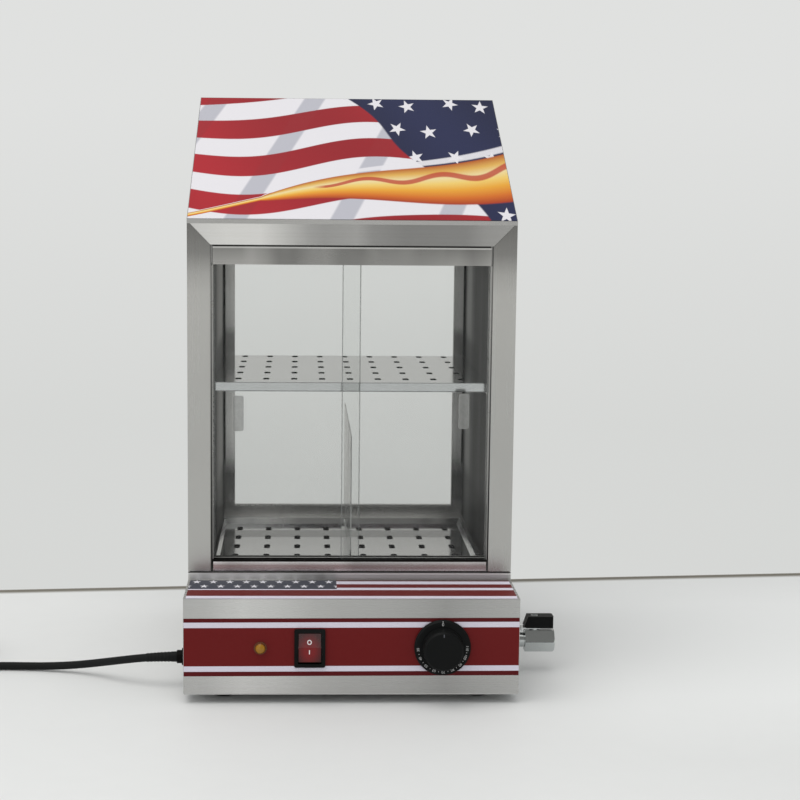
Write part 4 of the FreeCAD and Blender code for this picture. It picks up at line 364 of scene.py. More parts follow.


# tray: painted highlights on the back rim and a rear strip, bright on the left, and painted shade in the cuts of the
# perforation
trayShade = Look(
    rim=[(-120, 0.5), (-104, 1), (-86, 1), (-72, 0.72), (-56, 0.46), (-44, 0.3), (120, 0.25)], rimStart=266,
    rimLow=98.6, rimEnd=(-66, 22), rimMatte=0.75, strip=(241, 4), stripTop=98.9, stripEnd=(-60, 30), stripShare=0.8,
    stripMatte=0.7, stripTone=(1, 1, 0.99), upright=0.3, holesAlong=(94, 264), holesAcross=(-112, 108), holesTop=99,
    holesShare=0.93
)


def shadeTray(finish):
    shade = trayShade
    x, y, z = finish.caseAxes()
    rim = y.above(shade.rimStart) * z.above(shade.rimLow)
    strip = y.above(*shade.strip) * z.below(shade.stripTop) * x.below(*shade.stripEnd)
    finish.cover(rim, finish.ramp(x, shade.rim))
    finish.cover(strip * shade.stripShare, shade.stripTone)
    matte = rim * x.below(*shade.rimEnd) * shade.rimMatte + strip * shade.stripMatte
    finish.set(Metallic=1.0 - matte)
    upright = finish.facing()[2].unsigned().below(shade.upright)
    holes = upright * y.between(*shade.holesAlong) * x.between(*shade.holesAcross) * z.below(shade.holesTop)
    finish.cover(holes * shade.holesShare, shadowTone)


# shelf: painted shade in the cuts of the perforation and along the rims of the front lip
shelfShade = Look(lipBack=91, holes=(257, 261), holesShare=0.93, lip=(252.8, 259.5, 0.25), rimShare=0.55)


def shadeShelf(finish):
    shade = shelfShade
    x, y, z = finish.caseAxes()
    across, deep, up = finish.facing()
    holes = up.unsigned().below(mostly) * y.above(shade.lipBack) * z.between(*shade.holes)
    rims = deep.below(-mostly) * y.below(shade.lipBack) * (1 - z.between(*shade.lip))
    finish.cover((holes * shade.holesShare).math("MAXIMUM", rims * shade.rimShare), shadowTone)


# divider: painted reflection in slanting bright streaks, darker between them
dividerShade = Look(stretch=(1, 46, 7), turn=(0.32, 0, 0), edge=(0.4, 0.07), dark=(0.28, 0.29, 0.28))


def shadeDivider(finish):
    shade = dividerShade
    slash = finish.fibres(shade.stretch, 2.0, turn=shade.turn).step(*shade.edge)
    finish.cover(1.0, finish.mixed(slash, shade.dark, (1.0, 1.0, 1.0)), "MULTIPLY")


# painted shadow in the gaps round the door opening and over the plinth, and a painted highlight on the plinth's edge
gapShade = Look(
    front=68.3, innerSide=122, corner=(120.7, 0.3), cornerShade=[(90, 0.8), (380, 0.15)], railEdge=(379.35, 0.2),
    railShare=0.5, runner=103, runnerBack=80, plinthBack=75, floorEdge=(96.3, 97.7, 0.15),
    plinthEdge=(95.9, 97, 0.15), plinthShare=0.9, plinthShine=(94.6, 95.9, 0.2), shineShare=0.55,
    shineTone=(1, 1, 0.98)
)


def shadeGaps():
    shade = gapShade
    for name in ("railSteel", "postSteel", "trackSteel", "hiddenSteel", "plinthSteel"):
        finish = steels[name]
        across, deep, up = finish.facing()
        x, y, z = finish.caseAxes()
        front = deep.below(-mostly)
        inside = y.above(shade.front)
        plinth = front * y.below(shade.plinthBack)
        if name == "postSteel":
            corner = front * x.unsigned().below(*shade.corner) * x.below(0.0)
            mask = across.unsigned().above(square) * x.unsigned().below(shade.innerSide) * inside
            mask = mask.math("MAXIMUM", corner * finish.ramp(z, shade.cornerShade))
        elif name == "railSteel":
            edge = front * z.below(*shade.railEdge) * shade.railShare
            mask = (up.below(-square) * inside).math("MAXIMUM", edge)
        elif name == "trackSteel":
            mask = up.above(square) * z.above(shade.runner) * y.below(shade.runnerBack)
        elif name == "hiddenSteel":
            mask = plinth * z.between(*shade.floorEdge) * shade.plinthShare
        else:
            finish.cover(plinth * z.between(*shade.plinthShine) * shade.shineShare, shade.shineTone)
            mask = plinth * z.between(*shade.plinthEdge) * shade.plinthShare
        finish.cover(mask, shadowTone)


shadeLiner(steels["leftLiner"])
shadeRear(steels["rearSteel"])
shadeTray(steels["traySteel"])
shadeShelf(steels["shelfSteel"])
shadeDivider(steels["dividerSteel"])
shadeGaps()

plasticGrain = Look(speck=900, cloud=25, dark=0.88, light=1.1, lift=0.002, bump=0.12, depth=0.0001)


def toned(color, share):
    return tuple(share * part for part in color)


def makePlastic(name, color, rough, grain=plasticGrain.speck, bump=plasticGrain.bump, shine=0.5):
    finish = Finish(name, Specular_IOR_Level=shine)
    speck = finish.specks(grain, 2.0)
    cloud = finish.specks(plasticGrain.cloud, 3.0)
    low = toned(color, plasticGrain.dark)
    high = tuple(min(1.0, plasticGrain.light * part + plasticGrain.lift) for part in color)
    finish.set(Base_Color=finish.mixed(cloud, low, high), Roughness=cloud * 0.12 + speck * 0.06 + (rough - 0.09))
    finish.bump(speck, bump, plasticGrain.depth)
    return finish


blackGloss = makePlastic("blackGloss", (0.0055, 0.006, 0.006), 0.4, shine=0.07).material
blackSatin = makePlastic("blackSatin", (0.0045, 0.004, 0.0036), 0.5, shine=0.05).material
footRubber = makePlastic("footRubber", (0.018, 0.018, 0.018), 0.7, 500.0, bump=0.3, shine=0.2).material
cordRubber = makePlastic("cordRubber", (0.0075, 0.0082, 0.0085), 0.55, 300.0, shine=0.12).material
ivoryPlastic = makePlastic("ivoryPlastic", (0.62, 0.58, 0.48), 0.45).material
sealRubber = makePlastic("sealRubber", (0.55, 0.54, 0.5), 0.6).material
redWire = makePlastic("redWire", (0.35, 0.02, 0.015), 0.4).material
numeralWhite = makePlastic("numeralWhite", (0.46, 0.46, 0.46), 0.5, bump=0.0).material
dimPrint = makePlastic("dimPrint", (0.09, 0.095, 0.11), 0.5, bump=0.0).material

# the runner's top behind the doors is pale with a painted reflection
runnerLook = Look(
    black=(0.0035, 0.0032, 0.003), dark=(0.0045, 0.004, 0.0036), worn=(0.26, 0.26, 0.25), start=(75, 1.5)
)


def makeRunner():
    finish = makePlastic("runnerBlack", runnerLook.black, 0.45, shine=0.1)
    worn = finish.facing()[2].above(square) * finish.caseAxes()[1].above(*runnerLook.start)
    finish.paint(worn, runnerLook.dark, runnerLook.worn)
    return finish.material


def makePlated(name, color, rough):
    finish = Finish(name, Metallic=1.0)
    cloud = finish.specks(60.0, 4.0)
    marks = finish.fibres((900, 60, 60))
    finish.set(Base_Color=finish.mixed(cloud, toned(color, 0.85), color),
               Roughness=cloud * 0.15 + marks * 0.1 + (rough - 0.12))
    finish.bump(marks, 0.08, 0.0001)
    return finish


# painted shade: the faces of the valve that look half upwards are darker
valveShade = Look(lean=(0.2, 0.9), share=0.55, tone=(0.16, 0.17, 0.17))
valveFinish = makePlated("platedBrass", (0.6, 0.625, 0.625), 0.22)
valveFinish.cover(valveFinish.facing()[2].between(*valveShade.lean) * valveShade.share, valveShade.tone)
platedBrass = valveFinish.material
dullSteel = makePlated("dullSteel", (0.42, 0.4, 0.37), 0.35).material
screwSteel = makePlated("screwSteel", (0.6, 0.6, 0.6), 0.28).material


def makeAluminium(name, axis, shades):
    finish = Finish(name, Metallic=1.0)
    die = finish.fibres((1.5, 500, 500))
    cloud = finish.fibres((18, 18, 45), 3.0, 0.6, 0.4)
    color = finish.mixed(die * 0.5 + cloud * 0.5, (0.8, 0.795, 0.77), (1.0, 0.99, 0.965))
    finish.set(Base_Color=finish.multiplied(color, finish.ramp(finish.caseAxes()[axis], shades)),
               Roughness=die * 0.08 + cloud * 0.1 + 0.2)
    finish.bump(die, 0.08, 0.0001)
    return finish


# upper track: painted reflection along it and in dark patches near the top, a painted highlight on the edge under the
# gap
trackLook = Look(
    shades=[(-130, 0.58), (-85, 0.62), (-72, 0.5), (-62, 0.34), (-50, 0.33), (-38, 0.42), (-22, 0.45), (-10, 0.34),
    (6, 0.36), (20, 0.44), (60, 0.44), (90, 0.54), (103, 0.42), (119, 0.56), (130, 0.56)], patch=(368.5, 9),
    patchEdge=(0.48, 0.14), patchSize=(22, 1, 1), patchShare=0.5, patchTone=(0.08, 0.078, 0.074),
    edge=(376.3, 377.6, 0.2), edgeShare=0.6, edgeTone=(0.9, 0.9, 0.88), gap=(377.7, 0.2), gapShare=0.92
)


def makeTrackAluminium():
    look = trackLook
    finish = makeAluminium("trackAluminium", 0, look.shades)
    x, y, z = finish.caseAxes()
    across, deep, up = finish.facing()
    front = deep.below(-mostly)
    low, soft = look.patch
    cloud = finish.fibres(look.patchSize, 2.0).step(*look.patchEdge)
    patch = (z - low).step(0.0, soft) * cloud
    finish.cover(patch * look.patchShare, look.patchTone)
    finish.cover(front * z.between(*look.edge) * look.edgeShare, look.edgeTone)
    finish.cover(up.above(square).math("MAXIMUM", front * z.above(*look.gap) * look.gapShare), shadowTone)
    return finish.material


# side jambs: painted light on the inner half, stronger upwards, beside a gap of painted shade that darkens downwards
jambLook = Look(
    shades=[(90, 0.26), (160, 0.3), (300, 0.34), (380, 0.32)], middle=(119, 0.25), inner=[(90, 0.8), (180, 1.3),
    (380, 1.7)], gap=[(90, 0.01), (140, 0.02), (170, 0.07), (205, 0.2), (270, 0.42), (340, 0.8), (380, 1)]
)


def makeJambAluminium():
    finish = makeAluminium("jambAluminium", 2, jambLook.shades)
    x, y, z = finish.caseAxes()
    inner, gap = (finish.multiplied(finish.color(), finish.ramp(z, jambLook[key])) for key in ("inner", "gap"))
    finish.paint(x.unsigned().above(*jambLook.middle), inner, gap)
    return finish.material


# clear glass with grey sawn edges; painted shade darkens the back pane low down
glassLook = Look(
    tint=(0.993, 0.996, 0.993), dust=14, mirror=0.9, least=0.024, endWidth=(0.42, 0.12), endShare=0.55,
    edgeShare=0.78, filmTop=(240, 130), pane=(0.34, 0.35, 0.345), edge=(0.1, 0.115, 0.11)
)


def makeGlass(name, haze, paintedLowShade, ends=()):
    look = glassLook
    finish = Finish(name, Roughness=0.03)
    dust = finish.specks(look.dust, 4.0)
    slant = finish.node("LayerWeight", "Facing", Blend=0.5).math("POWER", 5.0)
    x, y, z = finish.caseAxes()
    edge = finish.facing()[1].unsigned().below(mostly)
    for end in ends:
        edge = edge.math("MAXIMUM", (x - end).unsigned().below(*look.endWidth) * look.endShare)
    # painted shade that grows towards the foot of the pane
    high, soft = look.filmTop
    low = 1 - (z - high).step(0.0, soft)
    share = slant * look.mirror + dust * haze + low * paintedLowShade + look.least
    finish.paint(edge, look.pane, look.edge)
    finish.layer(share.math("MAXIMUM", edge * look.edgeShare), finish.clear(look.tint), finish.whole())
    return finish.material


def meshPiece(name, work, material):
    mesh = bpy.data.meshes.new(name)
    work.to_mesh(mesh)
    work.free()
    mesh.materials.append(material)
    return link(name, mesh)


def addMesh(name, work, material, body, smooth=False):
    bmesh.ops.recalc_face_normals(work, faces=work.faces)
    piece = meshPiece(name, work, material)
    if smooth:
        piece.data.shade_smooth()
    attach(piece, body)
    return piece


# the curve as a mesh, and the curve taken away
def curveMesh(curve):
    line = link(curve.name, curve)
    bpy.context.view_layer.update()
    mesh = bpy.data.meshes.new_from_object(line)
    bpy.data.objects.remove(line)
    bpy.data.curves.remove(curve)
    return mesh


def takeMesh(work, mesh):
    work.from_mesh(mesh)
    bpy.data.meshes.remove(mesh)


def edgesAt(verts):
    return list(dict.fromkeys(edge for vert in verts for edge in vert.link_edges))


def addBar(work, size, matrix, bevel=0.0, segments=2):
    grown = bmesh.ops.create_cube(work, size=1.0, matrix=matrix @ Matrix.Diagonal((*(part * mm for part in size), 1)))
    if bevel:
        bmesh.ops.bevel(work, geom=edgesAt(grown["verts"]), offset=bevel * mm, affect="EDGES", segments=segments,
                        profile=0.5, material=-1)


# rings along a line, bridged and closed: each station is a place, a direction and a radius
def addRings(work, stations, segments=24):
    rings = []
    for spot, way, radius in stations:
        turn = way.to_track_quat("Z", "Y").to_matrix().to_4x4()
        grown = bmesh.ops.create_circle(work, cap_ends=False, segments=segments, radius=radius,
                                        matrix=Matrix.Translation(spot) @ turn)
        rings.append(edgesAt(grown["verts"]))
    for first, second in zip(rings, rings[1:]):
        bmesh.ops.bridge_loops(work, edges=first + second)
    for ring in (rings[0], rings[-1]):
        bmesh.ops.holes_fill(work, edges=ring, sides=segments)


# cord: the free lead, the coil put away to the left, and its end in the plug
cordRoute = [
    (-148.6, 50, 26.6), (-164.6, 50.3, 26.3), (-182.4, 54.6, 23.8), (-201, 66.5, 18.4), (-220.5, 80, 12.4),
    (-242, 91, 7.2), (-267, 97.6, 4.3), (-296, 100.9, 3.7), (-324, 101.4, 3.7), (-352, 100.4, 3.7),
    (-376, 100, 3.7),
]
cordCoil = Look(x=-380, front=100, height=3.7, radius=48, step=7.4, turns=3, points=32, tail=26, crossing=0.25)
cordDiameter = 6.8
# the lead outside the coil, in metres
cordStraight = 0.274
cordLayers = 2 * cordCoil.turns
coilMean = cordCoil.radius - cordCoil.step * cordCoil.turns / 2
cordTotal = 2 * math.pi * coilMean * cordLayers * mm + cordStraight


# inwards for the first turns, then up a layer and outwards again
def coilPoint(turn):
    radius = cordCoil.radius - cordCoil.step * min(turn, cordLayers - turn)
    half = cordCoil.crossing
    climb = min(1.0, max(0.0, (turn - cordCoil.turns + half) / (2 * half)))
    rise = cordCoil.step * climb * climb * (3 - 2 * climb)
    angle = -math.pi / 2 - 2 * math.pi * turn
    return (cordCoil.x + radius * math.cos(angle),
            cordCoil.front + cordCoil.radius + radius * math.sin(angle), cordCoil.height + rise)


# ribbed rubber sleeve that keeps the lead from kinking at the gland
sleeveShape = Look(
    length=27, inside=0.8, start=4.5, end=3.7, pitch=3, groove=0.22, plain=5, steps=(0.12, 0.38, 0.5, 1)
)


# the place and direction on a line of points after a length along it
def along(points, reach):
    left = reach
    spot, way = points[0], (points[1] - points[0]).normalized()
    for first, second in zip(points, points[1:]):
        run = (second - first).length
        if run == 0:
            continue
        way = (second - first).normalized()
        if left <= run:
            return first + way * left, way
        left -= run
    return spot, way


def makeSleeve(lead):
    bare = lead.data.copy()
    bare.bevel_depth = 0
    mesh = curveMesh(bare)
    points = [vert.co.copy() for vert in mesh.vertices]
    bpy.data.meshes.remove(mesh)
    start = place(*cordRoute[0])
    if (points[0] - start).length > (points[-1] - start).length:
        points.reverse()
    shape = sleeveShape
    reaches = [-shape.inside, 0.0, shape.plain]
    plainCount = len(reaches)
    while reaches[-1] + shape.pitch < shape.length:
        last = reaches[-1]
        reaches += [last + shape.pitch * share for share in shape.steps]
    reaches += [shape.length]
    stations = []
    for index, reach in enumerate(reaches):
        radius = shape.start + (shape.end - shape.start) * max(0.0, reach) / shape.length
        if index >= plainCount and (index - plainCount) % len(shape.steps) in (0, 1):
            radius -= shape.groove
        stations.append((*along(points, reach * mm), radius * mm))
    work = bmesh.new()
    addRings(work, stations)
    return addMesh("leadSleeve", work, cordRubber, "cabinet")


# moulded plug with a ribbed neck, grip grooves, two flat blades and an earth pin
plugShape = Look(
    start=-406, y=100, z=11.1, neck=22, neckRadii=(4.3, 6.1), neckRings=21, neckGroove=0.6, sink=1, body=(34, 26, 20),
    corner=3.2, grips=(0.3, 0.37, 0.44, 0.51, 0.58), gripWidth=0.018, gripScale=(1, 0.955, 0.93), taper=0.3,
    taperStart=0.6, blade=(17, 1.5, 6.3), bladeBevel=0.5, pitch=12.7, drop=6.5, earth=2.4, earthRise=0.75,
    earthRings=[(-2, 1), (0, 1), (15.5, 1), (17.3, 0.92), (18.5, 0.7), (19, 0.35)]
)


def addPlugNeck(work, way):
    shape = plugShape
    low, high = shape.neckRadii
    stations, last = [], shape.neckRings - 1
    for index in range(shape.neckRings):
        share = index / last
        radius = low + (high - low) * share
        if index % 4 in (1, 2) and 1 < index < last - 2:
            radius -= shape.neckGroove
        spot = place(shape.start - (shape.neck + shape.sink) * share, shape.y, shape.z)
        stations.append((spot, way, radius * mm))
    addRings(work, stations)


def makePlugBlock(neckEnd, bodyEnd):
    shape = plugShape
    length = shape.body[0]
    middle = place((neckEnd + bodyEnd) / 2, shape.y, shape.z)
    block = bmesh.new()
    addBar(block, shape.body, Matrix.Translation(middle), shape.corner, 4)
    for share in shape.grips:
        for step in (-shape.gripWidth, 0.0, shape.gripWidth):
            bmesh.ops.bisect_plane(block, geom=block.verts[:] + block.edges[:] + block.faces[:], plane_no=(1, 0, 0),
                                   plane_co=place(neckEnd - length * (share + step), shape.y, shape.z))
        centre = place(neckEnd - length * share, shape.y, shape.z)
        ring = [vert for vert in block.verts if abs(vert.co.x - centre.x) < 0.1 * mm]
        bmesh.ops.scale(block, vec=shape.gripScale, space=Matrix.Translation(-centre), verts=ring)
    back = [vert for vert in block.verts if vert.co.x > middle.x + 0.3 * length * mm]
    for vert in back:
        share = (vert.co.x - middle.x) / (0.5 * length * mm)
        narrow = 1 - shape.taper * max(0.0, share - shape.taperStart) / (1 - shape.taperStart)
        bmesh.ops.scale(block, vec=(1, narrow, narrow), space=Matrix.Translation(-middle), verts=[vert])
    mesh = bpy.data.meshes.new("plugBlock")
    block.to_mesh(mesh)
    block.free()
    return mesh


def makePlug():
    shape = plugShape
    way = Vector((-1, 0, 0))
    neckEnd = shape.start - shape.neck
    bodyEnd = neckEnd - shape.body[0]
    work, pins = bmesh.new(), bmesh.new()
    addPlugNeck(work, way)
    takeMesh(work, makePlugBlock(neckEnd, bodyEnd))
    body = addMesh("plugBody", work, cordRubber, "cabinet")
    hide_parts("power_plug")
    length, thick, width = shape.blade
    for side in (-1, 1):
        spot = place(bodyEnd - (length - shape.sink) / 2, shape.y + side * shape.pitch / 2, shape.z + shape.drop / 2)
        addBar(pins, (length + shape.sink, thick, width), Matrix.Translation(spot), shape.bladeBevel)
    addRings(pins, [(place(bodyEnd - reach, shape.y, shape.z - shape.drop * shape.earthRise), way,
                     shape.earth * share * mm) for reach, share in shape.earthRings])
    return body, addMesh("plugPins", pins, platedBrass, "cabinet")


def makeCord():
    points = [place(*spot) for spot in cordRoute]
    steps = cordCoil.points
    points += [place(*coilPoint(index / steps)) for index in range(cordLayers * steps + 1)]
    points += [points[-1] + Vector((-reach * mm, 0, 0)) for reach in (cordCoil.tail / 2, cordCoil.tail)]
    curve = bpy.data.curves.new("mainsLead", "CURVE")
    curve.dimensions = "3D"
    curve.bevel_depth = cordDiameter / 2 * mm
    curve.bevel_resolution = 5
    curve.resolution_u = 4
    curve.use_fill_caps = True
    spline = curve.splines.new("NURBS")
    spline.points.add(len(points) - 1)
    for point, spot in zip(spline.points, points):
        point.co = (*spot, 1)
    spline.order_u = 3
    spline.use_endpoint_u = True
    lead = link("mainsLead", curve)
    curve.materials.append(cordRubber)
    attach(lead, "cabinet")
    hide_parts("power_cord", "cord_coil")
    pieces = [makeSleeve(lead), *makePlug()]


makeCord()
print("stage: camera and lead")

# stage: a wide pale floor with painted light and shadow that ends at the wall behind, and soft light from the room
floorLook = Look(
    size=4, wall=(-360.6, 399.1), slope=0.0947, shadow=(14, 5), end=(0, 1.5), dim=(0.665, 0.672, 0.672),
    bright=(0.745, 0.752, 0.75), cloud=1.6, scuff=38, lightAcross=(190, 60), lightAlong=(-60, 420, 80),
    lightShare=0.55, light=(0.84, 0.85, 0.85), dark=(0.16, 0.145, 0.115)
)


def makeFloor():
    look = floorLook
    finish = Finish("paleFloor", Roughness=0.55)
    x, y, z = finish.caseAxes()
    left, back = look.wall
    past = y - ((x - left) * look.slope + back)
    cloud = finish.specks(look.cloud, 4.0)
    scuff = finish.specks(look.scuff, 5.0, 0.65)
    tone = finish.mixed(cloud * 0.7 + scuff * 0.3, look.dim, look.bright)
    # painted light: a lighter pool on the floor to the right of the case
    lighter = x.above(*look.lightAcross) * y.between(*look.lightAlong)
    tone = finish.mixed(lighter * look.lightShare, tone, look.light)
    # painted shadow in a dark band along the wall line
    start, soft = look.shadow
    finish.paint(past.above(-start, soft), tone, look.dark)
    finish.bump(scuff, 0.05, 0.001)
    finish.layer(past.above(*look.end), finish.whole(), finish.clear())
    grid = bmesh.new()
    bmesh.ops.create_grid(grid, x_segments=2, y_segments=2, size=look.size)
    meshPiece("paleFloor", grid, finish.material)


makeFloor()

# tones, and the edges between them as how far the view looks up or right
room = Look(
    upper=(0.745, 0.752, 0.742), lower=(0.672, 0.682, 0.668), light=(0.8, 0.81, 0.805), low=(0.66, 0.655, 0.635),
    left=(0.55, 0.55, 0.54), middle=(0.3, 0.295, 0.28), right=(0.2, 0.195, 0.185), wallEdge=(-0.05, 0.09),
    middleEdge=(-0.15, 0.45), rightEdge=(0.45, 0.35), lowEdge=(0.22, 0.3)
)


# what the camera sees is a pale wall; what metal mirrors is brighter to the left and low down
def makeRoom():
    world = bpy.data.worlds.new("paleRoom")
    bpy.context.scene.world = world
    world.use_nodes = True
    tree = world.node_tree
    paths = tree.nodes.new("ShaderNodeLightPath")
    split = tree.nodes.new("ShaderNodeSeparateXYZ")
    tree.links.new(tree.nodes.new("ShaderNodeTexCoord").outputs[0], split.inputs[0])
    across, height = Wire(tree, split.outputs[0]), Wire(tree, split.outputs[2])
    camera, glossy, through = (Wire(tree, paths.outputs[f"Is {kind} Ray"])
                               for kind in ("Camera", "Glossy", "Transmission"))
    wall = mixColors(tree, height.step(*room.wallEdge), room.lower, room.upper)
    side = mixColors(tree, across.step(*room.middleEdge), room.left, room.middle)
    side = mixColors(tree, across.step(*room.rightEdge), side, room.right)
    mirrored = mixColors(tree, height.step(*room.lowEdge), room.low, side)
    lit = mixColors(tree, glossy, room.light, mirrored)
    seen = mixColors(tree, camera.math("MAXIMUM", through), lit, wall)
    tree.links.new(seen.socket, tree.nodes["Background"].inputs[0])


makeRoom()

lamps = {
    "ceilingLight": {"spot": (-500, -500, 2300), "aim": (0, 160, 150), "size": 2.2, "power": 24},
    "windowLight": {"spot": (-2300, -900, 1300), "aim": (0, 160, 250), "size": 2.4, "power": 7},
}
lampColor = (1.0, 0.985, 0.96)


def makeLamp(name, facts):
    data = bpy.data.lights.new(name, "AREA")
    data.shape = "DISK"
    data.size = facts["size"]
    data.energy = facts["power"]
    data.color = lampColor
    spot, aim = place(*facts["spot"]), place(*facts["aim"])
    turn = (aim - spot).to_track_quat("-Z", "Y").to_matrix().to_4x4()
    link(name, data).matrix_world = Matrix.Translation(spot) @ turn


for name, facts in lamps.items():
    makeLamp(name, facts)
bpy.context.scene.view_settings.view_transform = "Standard"
print("stage: floor, room and light")

# how far in the notches of a star of radius one reach
starNotch = 0.4


# a plain five-pointed star around the point where both lengths are zero
def starMask(across, up):
    half = math.pi / 5
    turn = (up.math("ARCTAN2", across) / (2 * half) + 0.25).math("FRACT") - 0.5
    lean = turn.unsigned() * (2 * half)
    side = distance(across, up) * (lean.sine() + (half - lean).sine() * starNotch)
    return side.below(starNotch * math.sin(half), 0.02)


# stars in shifted rows; tilt is how much each leans and strays
def starField(x, y, step, size, tilt):
    row = (y / step[1]).math("FLOOR")
    column = x / step[0] + row * 0.5 + 0.3
    number = column.math("FLOOR")
    stray = (row * 5.1 + number * 3.3).sine()
    across = (column.math("FRACT") - 0.5 + stray * 0.1 * tilt) * (step[0] / size[0])
    up = ((y / step[1]).math("FRACT") - 0.5 + stray * 0.07 * tilt) * (step[1] / size[1])
    lean = (row * 2.3 + number * 1.7).sine() * 0.5 * tilt
    turned = across * lean.math("COSINE") - up * lean.sine()
    return starMask(turned, across * lean.sine() + up * lean.math("COSINE"))


# fine grain over the finished print
def finishPrint(finish, color, share, tone, roughness, grain):
    finish.set(Base_Color=finish.mixed(share, color, tone), Roughness=roughness)
    finish.bump(grain, 0.05, 0.0001)
    return finish.material


# the print on the roof: waving stripes, a plain starry field and a gold wave
roofPrint = Look(
    left=-139.5, width=279, front=68, depth=211, stripes=3.4, stripe=(0.02, 0.54, 0.01), fold=(0.24, 0.46, 0.012),
    field=(0.5, 0.003), fieldSlant=0.42, fieldWave=0.02, red=(0.36, 0.013, 0.022), white=(0.66, 0.645, 0.68),
    navy=(0.013, 0.017, 0.055), foldWhite=(0.42, 0.42, 0.47), foldRed=(0.26, 0.016, 0.022), starStep=(35, 49),
    starSize=(8, 13), waveStart=0.22, waveWidth=0.215, waveTip=0.014, ribPlace=0.35, ribWave=0.18,
    ribWidth=(0.13, 0.03), ribStart=(0.4, 0.02), rib=(0.42, 0.03, 0.02), trimPlace=1.22, trimWidth=(0.14, 0.03),
    gold=[(0, (0.32, 0.03, 0.01)), (0.16, (0.55, 0.13, 0.012)), (0.36, (0.68, 0.32, 0.03)), (0.52, (0.72, 0.5, 0.13)),
    (0.66, (0.7, 0.58, 0.3)), (0.82, (0.62, 0.36, 0.08)), (1, (0.38, 0.08, 0.01))]
)


def makeRoofPrint():
    look = roofPrint
    finish = Finish("roofPrint", Specular_IOR_Level=0.15)
    x, y, z = finish.caseAxes()
    u = (x - look.left) / look.width
    v = (y - look.front) / look.depth
    # waving stripes with a grey fold that runs across them
    swell = (u * 5.6 + v * 1.3 + 0.5).sine() * 0.26 + (u * 11.0 - v * 2.0).sine() * 0.05
    stripe = (v * look.stripes + swell + 0.62).math("FRACT")
    fold = (u * 3.1 - v * 0.75 - 0.1).math("FRACT").between(*look.fold)
    shade = (u * 7.5 + v * 2.6 + swell * 2.0).sine() * 0.5 + 0.5
    red = finish.mixed(shade, toned(look.red, 0.72), look.red)
    red = finish.mixed(fold * 0.45, red, look.foldRed)
    white = finish.mixed(fold, look.white, look.foldWhite)
    color = finish.mixed(stripe.between(*look.stripe), white, red)
    # starry field behind a slanted wavy edge
    field = (u - (1 - v) * look.fieldSlant - (v * 9.0).sine() * look.fieldWave).above(*look.field)
    stars = starField(x, y, look.starStep, look.starSize, 1.0)
    navy = finish.mixed(shade, toned(look.navy, 0.85), toned(look.navy, 1.25))
    color = finish.mixed(field, color, finish.mixed(stars, navy, look.white))
    # gold wave that broadens to the right, with a rib and a white trim
    middle = u * 0.31 + (u * 6.2 - 0.9).sine() * 0.045 + 0.06
    half = (u - look.waveStart).math("MAXIMUM", 0.0).math("POWER", 0.75) * look.waveWidth + look.waveTip
    across = (v - middle) / half
    gold = finish.node("ValToRGB", stops=look.gold, Fac=across * 0.5 + 0.5)
    rib = (across - look.ribPlace - (u * 26.0).sine() * look.ribWave).unsigned().below(*look.ribWidth)
    gold = finish.mixed(rib * u.above(*look.ribStart) * 0.85, gold, look.rib)
    color = finish.mixed(across.between(-1.0, 1.0, 0.03), color, gold)
    trim = (across - look.trimPlace).unsigned().below(*look.trimWidth)
    color = finish.mixed(trim * 0.9, color, look.white)
    grain = finish.specks(700.0, 2.0)
    return finishPrint(finish, color, grain * 0.04, (0.2, 0.18, 0.18), grain * 0.1 + 0.3, grain)


# the prints on the base, each stripe as its lower edge, upper edge and colour; the front ones climb a little
bandPrint = Look(
    red=(0.13, 0.0085, 0.009), white=(0.66, 0.63, 0.72), dark=(0.088, 0.006, 0.008), navy=(0.05, 0.055, 0.075),
    star=(0.74, 0.73, 0.78), starStep=(14.2, 16), starSize=(3.9, 6), starStart=36, left=-140, climb=0.9 / 280,
    soft=0.12, front=[(27.7, 69.6, "white"), (32.3, 65, "red")], deck=[(10, 31, "red"), (39, 52, "red"),
    (62.5, 67, "dark")], fieldEnd=(-12, 0.3), fieldStart=(34, 0.3), deckHeight=85
)


def stripes(finish, value, base, rows):
    color = bandPrint[base]
    for low, high, tone in rows:
        color = finish.mixed(value.between(low, high, bandPrint.soft), color, bandPrint[tone])
    return color


def makeBasePrint():
    look = bandPrint
    finish = Finish("basePrint", Specular_IOR_Level=0.06)
    x, y, z = finish.caseAxes()
    level = z - (x - look.left) * look.climb
    front = stripes(finish, level, "dark", look.front)
    deck = stripes(finish, y, "white", look.deck)
    field = x.below(*look.fieldEnd) * y.above(*look.fieldStart)
    stars = starField(x, y - look.starStart, look.starStep, look.starSize, 0.0)
    deck = finish.mixed(field, deck, finish.mixed(stars, look.navy, look.star))
    color = finish.mixed(z.above(look.deckHeight), front, deck)
    grain = finish.specks(800.0, 2.0)
    cloud = finish.specks(7.0, 2.0)
    return finishPrint(finish, color, grain * 0.03 + cloud * 0.03, (0.2, 0.14, 0.14),
                       grain * 0.1 + cloud * 0.08 + 0.3, grain)


# rocker: red body with a plain ring and bar, and painted shade that darkens it towards its sides
rockerFace = Look(
    x=-35.2, ring=53.4, bar=45.4, size=1.9, inner=0.62, barHalf=(0.36, 1.55), soft=0.08, outside=-1, middle=47.5,
    dome=(7.6, 3.4), domeShare=0.88, red=(0.19, 0.006, 0.008), low=(0.125, 0.002, 0.004), high=(0.165, 0.004, 0.006),
    dark=(0.022, 0.004, 0.005), print=(0.75, 0.72, 0.72)
)


